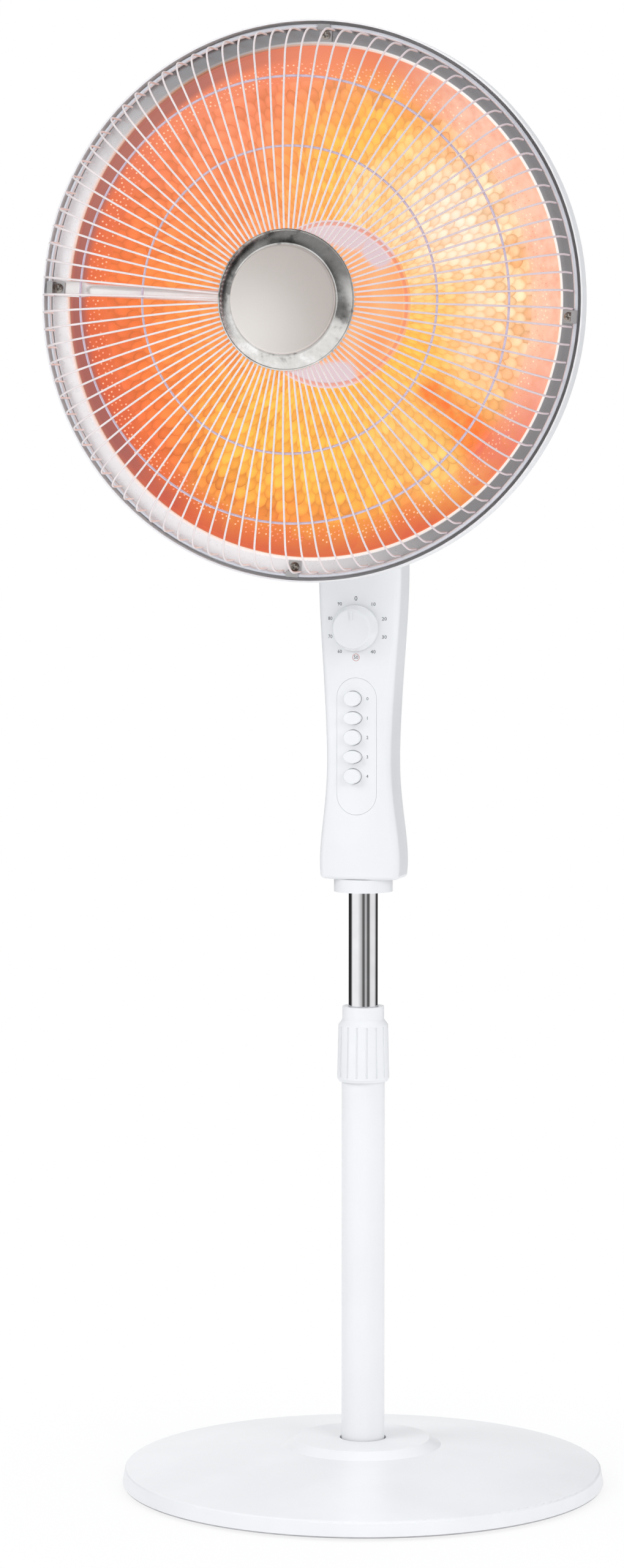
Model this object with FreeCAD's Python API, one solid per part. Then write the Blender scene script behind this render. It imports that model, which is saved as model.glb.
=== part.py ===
"""Parabolic electric heater on a telescoping stand, in millimetres.

The origin is on the floor under the pole, +Z is up and the dish faces -Y.
"""
import FreeCAD, Part
import math
import os

from FreeCAD import Vector

# Clearances and overruns shared by all pieces
CUT_OVERRUN = 2.0
RUN_CLEARANCE = 0.05
SLIDE_CLEARANCE = 0.3
SEAM_CLEARANCE = 0.15
PICK_TOLERANCE = 0.01

# Base: rubber ring, steel plate, cast weight and moulded cover
FOOT_HEIGHT = 2.0
FOOT_WIDTH = 16.0
FOOT_INSET = 12.0
PLATE_THICKNESS = 1.2
PLATE_MARGIN = 0.8
PLATE_ACCESS_RADIUS = 22.0
WEIGHT_THICKNESS = 12.0
WEIGHT_INSET = 13.0
WEIGHT_WEB = 4.0
COVER_RADIUS = 180.0
COVER_DRAFT = 1.6
COVER_WALL_RISE = 11.0
COVER_EDGE_ROUND = 2.0
COVER_WALL = 2.5
DOME_RISE = 16.0
DOME_BULGE = 2.0
PLATFORM_FOOT_RADIUS = 58.5
PLATFORM_RADIUS = 50.0
PLATFORM_RISE = 5.2
POLE_HOLE_GAP = 1.4
BASE_SCREW_COUNT = 4
BASE_SCREW_INSET = 11.0
BASE_SCREW_RADIUS = 2.0
BASE_SCREW_LENGTH = 10.0
BASE_SCREW_HEAD_RADIUS = 4.0
BASE_SCREW_HEAD_HEIGHT = 1.5
BASE_POST_RADIUS = 5.0

# Pole with its threaded plug, foot bolt and washer
POLE_RADIUS = 16.0
POLE_WALL = 1.2
POLE_LENGTH = 315.0
PLUG_LENGTH = 24.0
BOLT_RADIUS = 5.0
BOLT_HEAD_RADIUS = 9.0
BOLT_HEAD_HEIGHT = 5.6
BOLT_GRIP = 16.0
WASHER_RADIUS = 13.0
WASHER_THICKNESS = 1.6
POCKET_GAP = 1.5

# Collet bush in the pole's top and the ribbed locking collar over it
BUSH_DEPTH = 40.0
BUSH_FLANGE = 3.0
COLLET_WALL = 2.6
COLLET_HEIGHT = 16.0
COLLAR_SKIRT = 25.5
COLLAR_RISE = 30.3
COLLAR_FOOT_RADIUS = 19.4
COLLAR_SHOULDER_RADIUS = 18.5
COLLAR_NECK_RADIUS = 15.5
COLLAR_NECK_HEIGHT = 9.6
COLLAR_CONE_HEIGHT = 4.0
COLLAR_FOOT_BEVEL = 2.2
COLLAR_ROOF = 4.0
RIB_COUNT = 16
RIB_GROOVE_RADIUS = 0.9
RIB_MARGIN = 3.6

# Chrome inner tube, its guide ring and the socket under the control box
TUBE_RADIUS = 11.0
TUBE_WALL = 1.0
TUBE_EXPOSED = 86.0
TUBE_IN_POLE = 202.0
TUBE_IN_SOCKET = 34.0
GUIDE_HEIGHT = 22.0
SOCKET_RADIUS = 21.8
SOCKET_RING_HEIGHT = 9.8
SOCKET_STEM_RADIUS = 15.0
SOCKET_STEM_HEIGHT = 44.0
SOCKET_WIRE_RADIUS = 6.0
SOCKET_SCREW_RADIUS = 2.4
SOCKET_SCREW_HEAD_RADIUS = 4.2
SOCKET_SCREW_HEAD_HEIGHT = 2.6
SOCKET_SCREW_RISE = 20.0

# Control box: hourglass shells, seen in plan as tangent arcs and lines
BOX_HEIGHT = 250.0
BOX_FOOT_HALF_WIDTH = 29.6
BOX_WAIST_HALF_WIDTH = 24.7
BOX_HEAD_HALF_WIDTH = 30.6
BOX_FRONT = 22.0
BOX_REAR = 22.0
BOX_CROWN_RADIUS = 60.0
BOX_FRONT_CORNER = 7.0
BOX_REAR_CORNER = 9.0
BOX_WALL = 2.4
BOX_EDGE_ROUND = 3.0
BOX_SEAM_BEHIND_AXIS = 4.0
BOX_FOOT_SHARES = ((0.0, 1.0), (0.12, 0.97), (0.29, 0.03))
BOX_HEAD_SHARES = ((0.43, 0.02), (0.60, 0.42), (0.79, 0.97), (1.0, 1.0))
BOX_SCREW_RADIUS = 1.8
BOX_SCREW_HEAD_RADIUS = 3.2
BOX_SCREW_HEAD_HEIGHT = 2.2
BOX_SCREW_SIDE = 20.0
BOX_SCREW_END = 13.0
BOX_SCREW_BITE = 8.0
BOX_POST_RADIUS = 4.2
VENT_COUNT = 5
VENT_PITCH = 6.0
VENT_WIDTH = 26.0
VENT_HEIGHT = 2.6
VENT_SHARE = 0.832

# Button panel, five push buttons and the switch behind them
PANEL_WIDTH = 30.0
PANEL_HEIGHT = 101.0
PANEL_SHARE = 0.396
PANEL_FLANGE = 2.0
PANEL_FLANGE_THICKNESS = 1.4
BUTTON_COUNT = 5
BUTTON_PITCH = 14.3
BUTTON_ROW_OFFSET = 6.6
BUTTON_SIDE = -2.2
BUTTON_PROUD = 5.0
BUTTON_TRAVEL = 3.0
BUTTON_ROUND_HALF_WIDTH = 6.3
BUTTON_ROUND_HALF_HEIGHT = 5.6
BUTTON_FLAT_HALF_WIDTH = 6.7
BUTTON_FLAT_HALF_HEIGHT = 4.7
BUTTON_EDGE_ROUND = 1.3
BUTTON_FLANGE = 0.9
BUTTON_FLANGE_THICKNESS = 1.2
STEM_RADIUS = 2.0
STEM_BITE = 4.0
SWITCH_GAP = 1.4
SWITCH_WIDTH = 17.0
SWITCH_DEPTH = 18.0
SWITCH_END = 8.0
SWITCH_EAR = 8.0
SWITCH_EAR_THICKNESS = 2.0
SWITCH_POST_RADIUS = 3.0
SWITCH_SCREW_RADIUS = 1.3
SWITCH_SCREW_HEAD_RADIUS = 2.5
SWITCH_SCREW_HEAD_HEIGHT = 1.6
SWITCH_SCREW_BITE = 4.0

# Timer, its nut, shaft and knob
KNOB_SHARE = 0.7448
TIMER_RADIUS = 18.0
TIMER_DEPTH = 19.0
TIMER_NECK_RADIUS = 4.6
TIMER_SHAFT_RADIUS = 3.0
TIMER_SHAFT_BITE = 8.0
NUT_RADIUS = 7.5
NUT_THICKNESS = 2.4
KNOB_RADIUS = 17.0
KNOB_FACE_RADIUS = 14.6
KNOB_HEIGHT = 13.0
KNOB_SKIRT = 3.0
KNOB_EDGE_ROUND = 1.6
KNOB_GAP = 0.8
KNOB_RECESS_RADIUS = 9.5
KNOB_RECESS_DEPTH = 4.0
KNOB_SHAFT_BITE = 7.0
POINTER_WIDTH = 1.8
POINTER_LENGTH = 6.5
POINTER_HEIGHT = 0.9

# Inside the box: tip-over switch, terminal block and the cord's gland
TIP_WIDTH = 20.0
TIP_DEPTH = 11.0
TIP_HEIGHT = 24.0
TIP_SHARE = 0.552
TERMINAL_WIDTH = 26.0
TERMINAL_DEPTH = 9.0
TERMINAL_HEIGHT = 36.0
TERMINAL_SHARE = 0.336
GLAND_SHARE = 0.248
GLAND_RADIUS = 5.0
GLAND_BORE = 3.4
GLAND_FLANGE_RADIUS = 7.6
GLAND_FLANGE = 2.4
GLAND_TAIL = 4.0

# Tilt fork on the box, its screws, bolt and clamp knob
FORK_RISE = 21.0
FORK_PLATE = 4.0
FORK_HALF_WIDTH = 18.0
FORK_HALF_DEPTH = 14.0
FORK_GAP = 21.6
EAR_THICKNESS = 5.4
EAR_RADIUS = 13.0
FORK_SCREW_RADIUS = 2.0
FORK_SCREW_HEAD_RADIUS = 3.5
FORK_SCREW_HEAD_HEIGHT = 2.0
FORK_SCREW_REACH = 9.6
FORK_SCREW_TAIL = 3.0
TILT_BOLT_RADIUS = 4.0
TILT_BOLT_HEAD_RADIUS = 7.5
TILT_BOLT_HEAD = 4.0
TILT_BOLT_TAIL = 15.0
TILT_KNOB_RADIUS = 13.0
TILT_KNOB_LENGTH = 13.0
TILT_KNOB_LOBES = 6
TILT_KNOB_SCALLOP = 3.4

# Neck: knuckle, column, shoulder and spindle
KNUCKLE_RADIUS = 12.5
NECK_LENGTH = 91.0
NECK_FOOT_RADIUS = 9.6
NECK_HEAD_RADIUS = 14.0
NECK_STRAIGHT = 22.0
SHOULDER_RADIUS = 21.0
SHOULDER_THICKNESS = 6.0
SPINDLE_RADIUS = 7.0
SPINDLE_LENGTH = 34.0
SPINDLE_SCREW_RADIUS = 2.5
SPINDLE_SCREW_BITE = 12.0
SPINDLE_SCREW_HEAD_RADIUS = 5.0
SPINDLE_SCREW_HEAD = 3.0

# Swing drive: fixed arm on the spindle, link, crank and motor
ARM_REACH = 16.0
ARM_THICKNESS = 3.0
ARM_PIN_RADIUS = 2.5
ARM_EYE = 3.5
CRANK_REACH = 9.0
CRANK_RADIUS = 13.0
CRANK_THICKNESS = 3.0
CRANK_PIN_RADIUS = 2.5
LINK_THICKNESS = 3.0
LINK_RIM = 2.4
LINK_OPEN_CLEARANCE = 1.9
DRIVE_GAP = 0.6
MOTOR_GAP = 11.4
MOTOR_RADIUS = 23.0
MOTOR_HEIGHT = 19.0
MOTOR_SHAFT_RADIUS = 3.0

# Head bracket: boss on the spindle, arm, plate and motor shelf
HEAD_RISE = 58.7
BOSS_RADIUS = 13.0
BRACKET_ARM_HALF_WIDTH = 11.0
BRACKET_ARM_HEIGHT = 13.0
BRACKET_PLATE = 4.0
BRACKET_HALF_WIDTH = 31.0
BRACKET_TOP_REACH = 30.0
SHELF_THICKNESS = 3.0
SHELF_HALF_WIDTH = 25.0
BRACKET_SCREW_RADIUS = 2.4
BRACKET_SCREW_HEAD_RADIUS = 4.2
BRACKET_SCREW_HEAD = 2.6
BRACKET_SCREW_SIDE = 24.0
BRACKET_SCREW_RISE = 20.0
BRACKET_SCREW_TAIL = 3.0

# Rear cover over the drive
REAR_FRONT_RADIUS = 56.0
REAR_WAIST_RADIUS = 52.0
REAR_BACK_RADIUS = 40.0
REAR_CROWN_RADIUS = 26.0
REAR_OVERHANG = 39.6
REAR_ROUND_DEPTH = 16.0
REAR_WALL = 2.4
REAR_HOLE_GAP = 3.0
REAR_VENT_COUNT = 12
REAR_VENT_INNER = 18.5
REAR_VENT_OUTER = 25.0
REAR_VENT_WIDTH = 2.6
COVER_SCREW_RADIUS = 2.2
COVER_SCREW_HEAD_RADIUS = 4.0
COVER_SCREW_HEAD = 2.4
COVER_SCREW_BITE = 10.0
COVER_STUD_RADIUS = 4.5

# Dish: painted shell, reflector and hub plate, measured from the guard ring's plane
RIM_REACH = 152.0
SHELL_RIM_GAP = 5.0
SHELL_BAND = 12.0
SHELL_LIP = 1.6
SHELL_WALL = 1.2
SHELL_BACK_RADIUS = 64.0
SHELL_GAP = 7.0
REFLECTOR_WALL = 0.8
FLANGE_BEHIND = 5.0
FLANGE_INSET = 0.5
FLANGE_WIDTH = 9.5
LIP_ROUND = 2.4
DISH_DEPTH = 55.4
HUB_RADIUS = 60.0
HUB_SEAT = 8.0
HUB_THICKNESS = 1.0
HUB_BEAD = 5.3
HUB_BEAD_HEIGHT = 1.8
SPACER_COUNT = 3
SPACER_CIRCLE = 46.0
SPACER_RADIUS = 4.0
CUTOUT_RADIUS = 8.0
CUTOUT_BELOW_AXIS = 40.0
RIM_POST_RADIUS = 3.6

# Guard: spokes, rings, centre cap, clips and screws
SPOKE_COUNT = 96
SPOKE_RADIUS = 0.75
RING_WIRE_RADIUS = 0.9
RIM_WIRE_RADIUS = 1.5
GUARD_RADIUS = 192.0
OUTER_RING_SHARE = 0.8047
GUARD_OUTER_AHEAD = 45.0
INNER_RING_SHARE = 0.5521
GUARD_INNER_AHEAD = 54.0
SPOKE_END_RADIUS = 43.0
SPOKE_END_AHEAD = 57.6
SHOULDER_ARC = 27.0
CLIP_COUNT = 4
CLIP_TURN = 3.5
CLIP_WIDTH = 9.0
CLIP_SHEET = 1.0
CLIP_SCREW_INSET = 5.6
CLIP_SCREW_RADIUS = 1.7
CLIP_SCREW_HEAD_RADIUS = 3.3
CLIP_SCREW_HEAD = 2.0
CAP_RADIUS = 49.0
CAP_AHEAD = 58.6
CAP_SKIRT = 0.35
CAP_RIM = 1.2
CAP_SHEET = 1.0
CAP_SLOPE_RADIUS = 39.0
CAP_SLOPE_RISE = 7.6
DISC_RADIUS = 37.7
DISC_THICKNESS = 3.6
DISC_EDGE_ROUND = 1.4

# Heating element: holder, ceramic core, wound coil and the arm that carries them
HOLDER_FLANGE_RADIUS = 30.0
HOLDER_FLANGE = 4.0
HOLDER_RADIUS = 17.0
HOLDER_DEPTH = 22.0
CORE_LENGTH = 44.0
CORE_FLANGE_RADIUS = 14.5
CORE_FLANGE = 3.0
COIL_RADIUS = 12.4
COIL_WIRE_RADIUS = 1.2
COIL_TURNS = 10
COIL_PITCH = 3.3
COIL_MARGIN = 2.2
COIL_LEAD = 2.6
ARM_TUBE_HALF_WIDTH = 4.6
ARM_TUBE_HALF_THICKNESS = 4.3
ARM_TUBE_WALL = 0.9
ARM_TAB_HALF_WIDTH = 5.6
ARM_TAB_HALF_THICKNESS = 0.6
ARM_TAB_INSET = 10.0
ARM_ROUND_INSET = 26.0
ARM_INNER_RADIUS = 16.0
ARM_RISE = 44.0
ARM_FIRST_RISE = 3.0

# Radii of the base and the dish, tied to the cover and the guard ring
foot_outer = COVER_RADIUS - FOOT_INSET
foot_inner = foot_outer - FOOT_WIDTH
base_screw_circle = foot_inner - BASE_SCREW_INSET
weight_radius = base_screw_circle - WEIGHT_INSET
shell_rim = GUARD_RADIUS + SHELL_RIM_GAP
flange_radius = GUARD_RADIUS - FLANGE_INSET
lip_radius = flange_radius - FLANGE_WIDTH
clip_screw_circle = GUARD_RADIUS - CLIP_SCREW_INSET
arm_tab_radius = lip_radius - ARM_TAB_INSET
arm_round_radius = lip_radius - ARM_ROUND_INSET
guard_outer_ring = OUTER_RING_SHARE * GUARD_RADIUS
guard_inner_ring = INNER_RING_SHARE * GUARD_RADIUS

# Levels and reaches worked out from the sizes above
plate_z = FOOT_HEIGHT
cover_z = plate_z + PLATE_THICKNESS
pole_seat_z = cover_z + WEIGHT_THICKNESS
dome_foot_z = cover_z + COVER_WALL_RISE
platform_z = dome_foot_z + DOME_RISE
cover_top_z = platform_z + PLATFORM_RISE
pole_inner = POLE_RADIUS - POLE_WALL
pole_top_z = pole_seat_z + POLE_LENGTH
collar_z = pole_top_z - COLLAR_SKIRT
collar_top_z = pole_top_z + COLLAR_RISE
socket_z = collar_top_z + TUBE_EXPOSED
box_z = socket_z + SOCKET_RING_HEIGHT
box_top_z = box_z + BOX_HEIGHT
tube_z = pole_top_z - TUBE_IN_POLE
tilt_z = box_top_z + FORK_RISE
shoulder_z = tilt_z + NECK_LENGTH
spindle_top_z = shoulder_z + SPINDLE_LENGTH
head_z = shoulder_z + HEAD_RISE
knob_z = box_z + KNOB_SHARE * BOX_HEIGHT
panel_z = box_z + PANEL_SHARE * BOX_HEIGHT
button_row_z = panel_z + BUTTON_ROW_OFFSET
gland_z = box_z + GLAND_SHARE * BOX_HEIGHT
ear_inner = FORK_GAP / 2
ear_outer = ear_inner + EAR_THICKNESS

# Depths of the dish behind the guard ring's plane, negative to the rear
lip_u = -FLANGE_BEHIND - LIP_ROUND
lip_inner = lip_radius - LIP_ROUND
hub_u = -DISH_DEPTH
hub_seat_u = hub_u - HUB_THICKNESS
shell_front_u = hub_u - SHELL_GAP
shell_back_u = shell_front_u - SHELL_WALL
cap_roof_u = CAP_AHEAD + CAP_SLOPE_RISE
holder_u = cap_roof_u - CAP_SHEET - HOLDER_FLANGE - HOLDER_DEPTH
core_u = holder_u - CORE_LENGTH

# Levels of the swing drive, stacked on the spindle
arm_z = spindle_top_z
link_z = arm_z + ARM_THICKNESS + DRIVE_GAP
crank_z = link_z + LINK_THICKNESS + DRIVE_GAP
shelf_z = crank_z + CRANK_THICKNESS + DRIVE_GAP
motor_z = shelf_z + SHELF_THICKNESS
stud_z = motor_z + MOTOR_HEIGHT + COVER_STUD_RADIUS + SLIDE_CLEARANCE

# Where the bracket's plate, the motor and the rear cover stand behind the dish
bracket_y = -RIM_REACH - shell_back_u
bracket_back_y = bracket_y + BRACKET_PLATE
motor_ahead = -bracket_back_y - MOTOR_RADIUS - MOTOR_GAP
rear_end_y = REAR_OVERHANG
rear_depth = rear_end_y - bracket_y

UP = Vector(0, 0, 1)
RIGHT = Vector(1, 0, 0)
FRONT = Vector(0, -1, 0)
REAR = Vector(0, 1, 0)
ORIGIN = Vector(0, 0, 0)


class Outline:
    """A closed outline of lines and arcs, each point given as a radius and a height."""

    def __init__(self, radius, height):
        self.first = Vector(radius, 0, height)
        self.last = self.first
        self.edges = []

    def line(self, radius, height):
        end = Vector(radius, 0, height)
        self.edges.append(Part.makeLine(self.last, end))
        self.last = end
        return self

    def arc(self, via, end):
        finish = Vector(end[0], 0, end[1])
        self.edges.append(Part.Arc(self.last, Vector(via[0], 0, via[1]), finish).toShape())
        self.last = finish
        return self

    def face(self):
        edges = self.edges + [Part.makeLine(self.last, self.first)]
        return Part.Face(Part.Wire(edges))

    def turned(self):
        return self.face().revolve(ORIGIN, UP, 360)

    def extruded(self, half_width):
        """The outline as a plate of the given half width, standing across the Y axis."""
        face = self.face()
        face.translate(Vector(0, -half_width, 0))
        return face.extrude(Vector(0, 2 * half_width, 0))


def save(name, *solids):
    shape = solids[0] if len(solids) == 1 else Part.makeCompound(list(solids))
    shape.exportStep("parts/" + name + ".step")


def rod(radius, length, start, direction=UP):
    return Part.makeCylinder(radius, length, start, direction)


def block(low, high):
    return Part.makeBox(high.x - low.x, high.y - low.y, high.z - low.z, low)


def hexagon_prism(radius, length, start, direction):
    angles = [k * math.pi / 3 for k in range(6)]
    corners = [Vector(radius * math.cos(a), radius * math.sin(a), 0) for a in angles]
    prism = Part.Face(Part.makePolygon(corners + corners[:1])).extrude(Vector(0, 0, length))
    prism.Placement = FreeCAD.Placement(start, FreeCAD.Rotation(UP, direction))
    return prism


def copies(shape, count, first_deg=0.0, axis_point=ORIGIN, axis=UP):
    """Copies of a shape turned evenly about an axis."""
    turned = []
    for k in range(count):
        one = shape.copy()
        one.rotate(axis_point, axis, first_deg + k * 360.0 / count)
        turned.append(one)
    return turned


def on_head(shape):
    """Moves a shape drawn along +Z into the head, where +Z becomes the way the dish faces."""
    placed = shape.copy()
    placed.rotate(ORIGIN, RIGHT, 90)
    placed.translate(Vector(0, -RIM_REACH, head_z))
    return placed


def screw(shank_radius, shank, head_radius, head, seat, direction):
    """A round-headed screw whose head sits at seat and whose shank runs along direction."""
    body = rod(shank_radius, shank, seat, direction)
    return body.fuse(rod(head_radius, head, seat, direction * -1))


def base_dome(inset, bottom):
    """The space under the base cover's outer face, drawn in by the inset."""
    wall_top = COVER_RADIUS - COVER_DRAFT - inset
    shoulder = wall_top - COVER_EDGE_ROUND
    low = dome_foot_z - inset
    high = platform_z - inset
    quarter = COVER_EDGE_ROUND * (1 - math.sqrt(0.5))
    outline = Outline(0, bottom).line(COVER_RADIUS - inset, bottom)
    outline.line(wall_top, low - COVER_EDGE_ROUND)
    outline.arc((wall_top - quarter, low - quarter), (shoulder, low))
    crest = ((shoulder + PLATFORM_FOOT_RADIUS) / 2, (low + high) / 2 + DOME_BULGE)
    outline.arc(crest, (PLATFORM_FOOT_RADIUS, high))
    outline.line(PLATFORM_RADIUS, cover_top_z - inset)
    return outline.line(0, cover_top_z - inset).turned()


def base_screw_places():
    step = 360.0 / BASE_SCREW_COUNT
    angles = [math.radians((k + 0.5) * step) for k in range(BASE_SCREW_COUNT)]
    reach = base_screw_circle
    return [Vector(reach * math.cos(a), reach * math.sin(a), plate_z) for a in angles]


def make_base():
    outside = base_dome(0, cover_z)
    cover = outside.cut(base_dome(COVER_WALL, cover_z - CUT_OVERRUN))
    plate = rod(COVER_RADIUS - PLATE_MARGIN, PLATE_THICKNESS, Vector(0, 0, plate_z))
    plate = plate.cut(rod(PLATE_ACCESS_RADIUS, PLATE_THICKNESS, Vector(0, 0, plate_z)))
    screws = []
    for place in base_screw_places():
        post = rod(BASE_POST_RADIUS, cover_top_z, Vector(place.x, place.y, cover_z)).common(outside)
        cover = cover.fuse(post)
        screws.append(screw(BASE_SCREW_RADIUS, BASE_SCREW_LENGTH, BASE_SCREW_HEAD_RADIUS,
                            BASE_SCREW_HEAD_HEIGHT, place, UP))
    for one in screws:
        cover = cover.cut(one)
        plate = plate.cut(one)
    cover = cover.cut(rod(POLE_RADIUS + POLE_HOLE_GAP, cover_top_z + CUT_OVERRUN, ORIGIN))
    foot = rod(foot_outer, FOOT_HEIGHT, ORIGIN).cut(rod(foot_inner, FOOT_HEIGHT, ORIGIN))
    pocket_depth = WEIGHT_THICKNESS - WEIGHT_WEB
    weight = rod(weight_radius, WEIGHT_THICKNESS, Vector(0, 0, cover_z))
    weight = weight.cut(rod(WASHER_RADIUS + POCKET_GAP, pocket_depth, Vector(0, 0, cover_z)))
    weight = weight.cut(rod(BOLT_RADIUS, WEIGHT_THICKNESS, Vector(0, 0, cover_z)))
    save("base_cover", cover)
    save("base_plate", plate)
    save("base_weight", weight)
    save("foot_ring", foot)
    save("base_screws", *screws)


def make_pole():
    pole = rod(POLE_RADIUS, POLE_LENGTH, Vector(0, 0, pole_seat_z))
    pole = pole.cut(rod(pole_inner, POLE_LENGTH, Vector(0, 0, pole_seat_z)))
    plug = rod(pole_inner, PLUG_LENGTH, Vector(0, 0, pole_seat_z))
    washer_top = pole_seat_z - WEIGHT_WEB
    washer = rod(WASHER_RADIUS, WASHER_THICKNESS, Vector(0, 0, washer_top - WASHER_THICKNESS))
    head_top = Vector(0, 0, washer_top - WASHER_THICKNESS)
    shank = rod(BOLT_RADIUS, WASHER_THICKNESS + WEIGHT_WEB + BOLT_GRIP, head_top)
    bolt = shank.fuse(hexagon_prism(BOLT_HEAD_RADIUS, BOLT_HEAD_HEIGHT, head_top, UP * -1))
    save("pole", pole)
    save("pole_plug", plug.cut(shank))
    save("pole_washer", washer.cut(shank))
    save("pole_bolt", bolt)


def make_collar():
    bore = TUBE_RADIUS + RUN_CLEARANCE
    collet_radius = bore + COLLET_WALL
    flange_top = pole_top_z + BUSH_FLANGE
    collet_top = flange_top + COLLET_HEIGHT
    bush = Outline(bore, pole_top_z - BUSH_DEPTH).line(pole_inner, pole_top_z - BUSH_DEPTH)
    bush.line(pole_inner, pole_top_z).line(POLE_RADIUS, pole_top_z).line(POLE_RADIUS, flange_top)
    bush.line(collet_radius, flange_top).line(collet_radius, collet_top).line(bore, collet_top)
    neck_z = collar_top_z - COLLAR_NECK_HEIGHT
    shoulder_level = neck_z - COLLAR_CONE_HEIGHT
    skirt_bore = POLE_RADIUS + SLIDE_CLEARANCE
    collar = Outline(skirt_bore, collar_z).line(COLLAR_FOOT_RADIUS - COLLAR_FOOT_BEVEL / 2, collar_z)
    collar.line(COLLAR_FOOT_RADIUS, collar_z + COLLAR_FOOT_BEVEL)
    collar.line(COLLAR_SHOULDER_RADIUS, shoulder_level)
    collar.line(COLLAR_NECK_RADIUS, neck_z).line(COLLAR_NECK_RADIUS, collar_top_z)
    collar.line(TUBE_RADIUS + SLIDE_CLEARANCE, collar_top_z)
    collar.line(TUBE_RADIUS + SLIDE_CLEARANCE, collar_top_z - COLLAR_ROOF)
    collar.line(collet_radius + SLIDE_CLEARANCE, collar_top_z - COLLAR_ROOF)
    collar.line(collet_radius + SLIDE_CLEARANCE, flange_top + SLIDE_CLEARANCE)
    collar.line(skirt_bore, flange_top + SLIDE_CLEARANCE)
    low = Vector(COLLAR_FOOT_RADIUS, 0, collar_z + RIB_MARGIN)
    high = Vector(COLLAR_SHOULDER_RADIUS, 0, shoulder_level - RIB_GROOVE_RADIUS)
    groove = rod(RIB_GROOVE_RADIUS, (high - low).Length, low, high - low)
    ribbed = collar.turned().cut(copies(groove, RIB_COUNT))
    save("tube_bush", bush.turned())
    save("locking_collar", ribbed)


def socket_screw():
    seat = Vector(0, SOCKET_STEM_RADIUS, box_z + SOCKET_SCREW_RISE)
    reach = SOCKET_STEM_RADIUS - TUBE_RADIUS + TUBE_WALL
    return screw(SOCKET_SCREW_RADIUS, reach, SOCKET_SCREW_HEAD_RADIUS,
                 SOCKET_SCREW_HEAD_HEIGHT, seat, FRONT)


def make_tube():
    tube_length = socket_z + TUBE_IN_SOCKET - tube_z
    tube = rod(TUBE_RADIUS, tube_length, Vector(0, 0, tube_z))
    tube = tube.cut(rod(TUBE_RADIUS - TUBE_WALL, tube_length, Vector(0, 0, tube_z)))
    guide = rod(pole_inner - SLIDE_CLEARANCE, GUIDE_HEIGHT, Vector(0, 0, tube_z))
    guide = guide.cut(rod(TUBE_RADIUS, GUIDE_HEIGHT, Vector(0, 0, tube_z)))
    socket = rod(SOCKET_RADIUS, SOCKET_RING_HEIGHT, Vector(0, 0, socket_z))
    socket = socket.fuse(rod(SOCKET_STEM_RADIUS, SOCKET_STEM_HEIGHT, Vector(0, 0, box_z)))
    socket = socket.cut(rod(TUBE_RADIUS, TUBE_IN_SOCKET, Vector(0, 0, socket_z)))
    socket = socket.cut(rod(SOCKET_WIRE_RADIUS, BOX_HEIGHT, Vector(0, 0, socket_z)))
    pin = socket_screw()
    save("inner_tube", tube.cut(pin))
    save("tube_guide", guide)
    save("tube_socket", socket.cut(pin))


def box_section(half_width, inset, level):
    """The box in plan: a crowned front, tangent corners, straight sides and a flat rear."""
    side = half_width - inset
    front = BOX_FRONT - inset
    rear = BOX_REAR - inset
    crown = BOX_CROWN_RADIUS - inset
    corner = BOX_FRONT_CORNER - inset
    back_corner = BOX_REAR_CORNER - inset
    crown_y = crown - front
    drop = math.sqrt((crown - corner) ** 2 - (side - corner) ** 2)
    corner_y = crown_y - drop
    toward_x = (side - corner) / (crown - corner)
    toward_y = -drop / (crown - corner)
    meet_x = crown * toward_x
    meet_y = crown_y + crown * toward_y
    bisect = Vector(toward_x + 1, toward_y, 0).normalize()
    back_y = rear - back_corner
    diagonal = back_corner * math.sqrt(0.5)

    def at(x, y):
        return Vector(x, y, level)

    edges = [
        Part.Arc(at(-meet_x, meet_y), at(0, -front), at(meet_x, meet_y)).toShape(),
        Part.Arc(at(meet_x, meet_y), at(side - corner + corner * bisect.x, corner_y + corner * bisect.y),
                 at(side, corner_y)).toShape(),
        Part.makeLine(at(side, corner_y), at(side, back_y)),
        Part.Arc(at(side, back_y), at(side - back_corner + diagonal, back_y + diagonal),
                 at(side - back_corner, rear)).toShape(),
        Part.makeLine(at(side - back_corner, rear), at(back_corner - side, rear)),
        Part.Arc(at(back_corner - side, rear), at(back_corner - side - diagonal, back_y + diagonal),
                 at(-side, back_y)).toShape(),
        Part.makeLine(at(-side, back_y), at(-side, corner_y)),
        Part.Arc(at(-side, corner_y), at(corner - side - corner * bisect.x, corner_y + corner * bisect.y),
                 at(-meet_x, meet_y)).toShape(),
    ]
    return Part.Wire(edges)


def box_space(inset):
    """The space inside the control box's outer face, drawn in by the inset."""
    sections = []
    for shares, flare in ((BOX_FOOT_SHARES, BOX_FOOT_HALF_WIDTH), (BOX_HEAD_SHARES, BOX_HEAD_HALF_WIDTH)):
        for height_share, flare_share in shares:
            half_width = BOX_WAIST_HALF_WIDTH + flare_share * (flare - BOX_WAIST_HALF_WIDTH)
            level = box_z + inset + height_share * (BOX_HEIGHT - 2 * inset)
            sections.append(box_section(half_width, inset, level))
    return Part.makeLoft(sections, True, False)


def crown_drop(x, inset):
    """How far the crowned front has fallen back at x from the middle."""
    crown = BOX_CROWN_RADIUS - inset
    return crown - math.sqrt(crown * crown - x * x)


def stadium_prism(half_width, half_height, low_y, high_y):
    """An upright stadium round the panel's centre, from low_y back to high_y."""
    straight = half_height - half_width

    def at(x, z):
        return Vector(x, low_y, panel_z + z)

    edges = [
        Part.makeLine(at(half_width, -straight), at(half_width, straight)),
        Part.Arc(at(half_width, straight), at(0, half_height), at(-half_width, straight)).toShape(),
        Part.makeLine(at(-half_width, straight), at(-half_width, -straight)),
        Part.Arc(at(-half_width, -straight), at(0, -half_height), at(half_width, -straight)).toShape(),
    ]
    return Part.Face(Part.Wire(edges)).extrude(Vector(0, high_y - low_y, 0))


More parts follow.
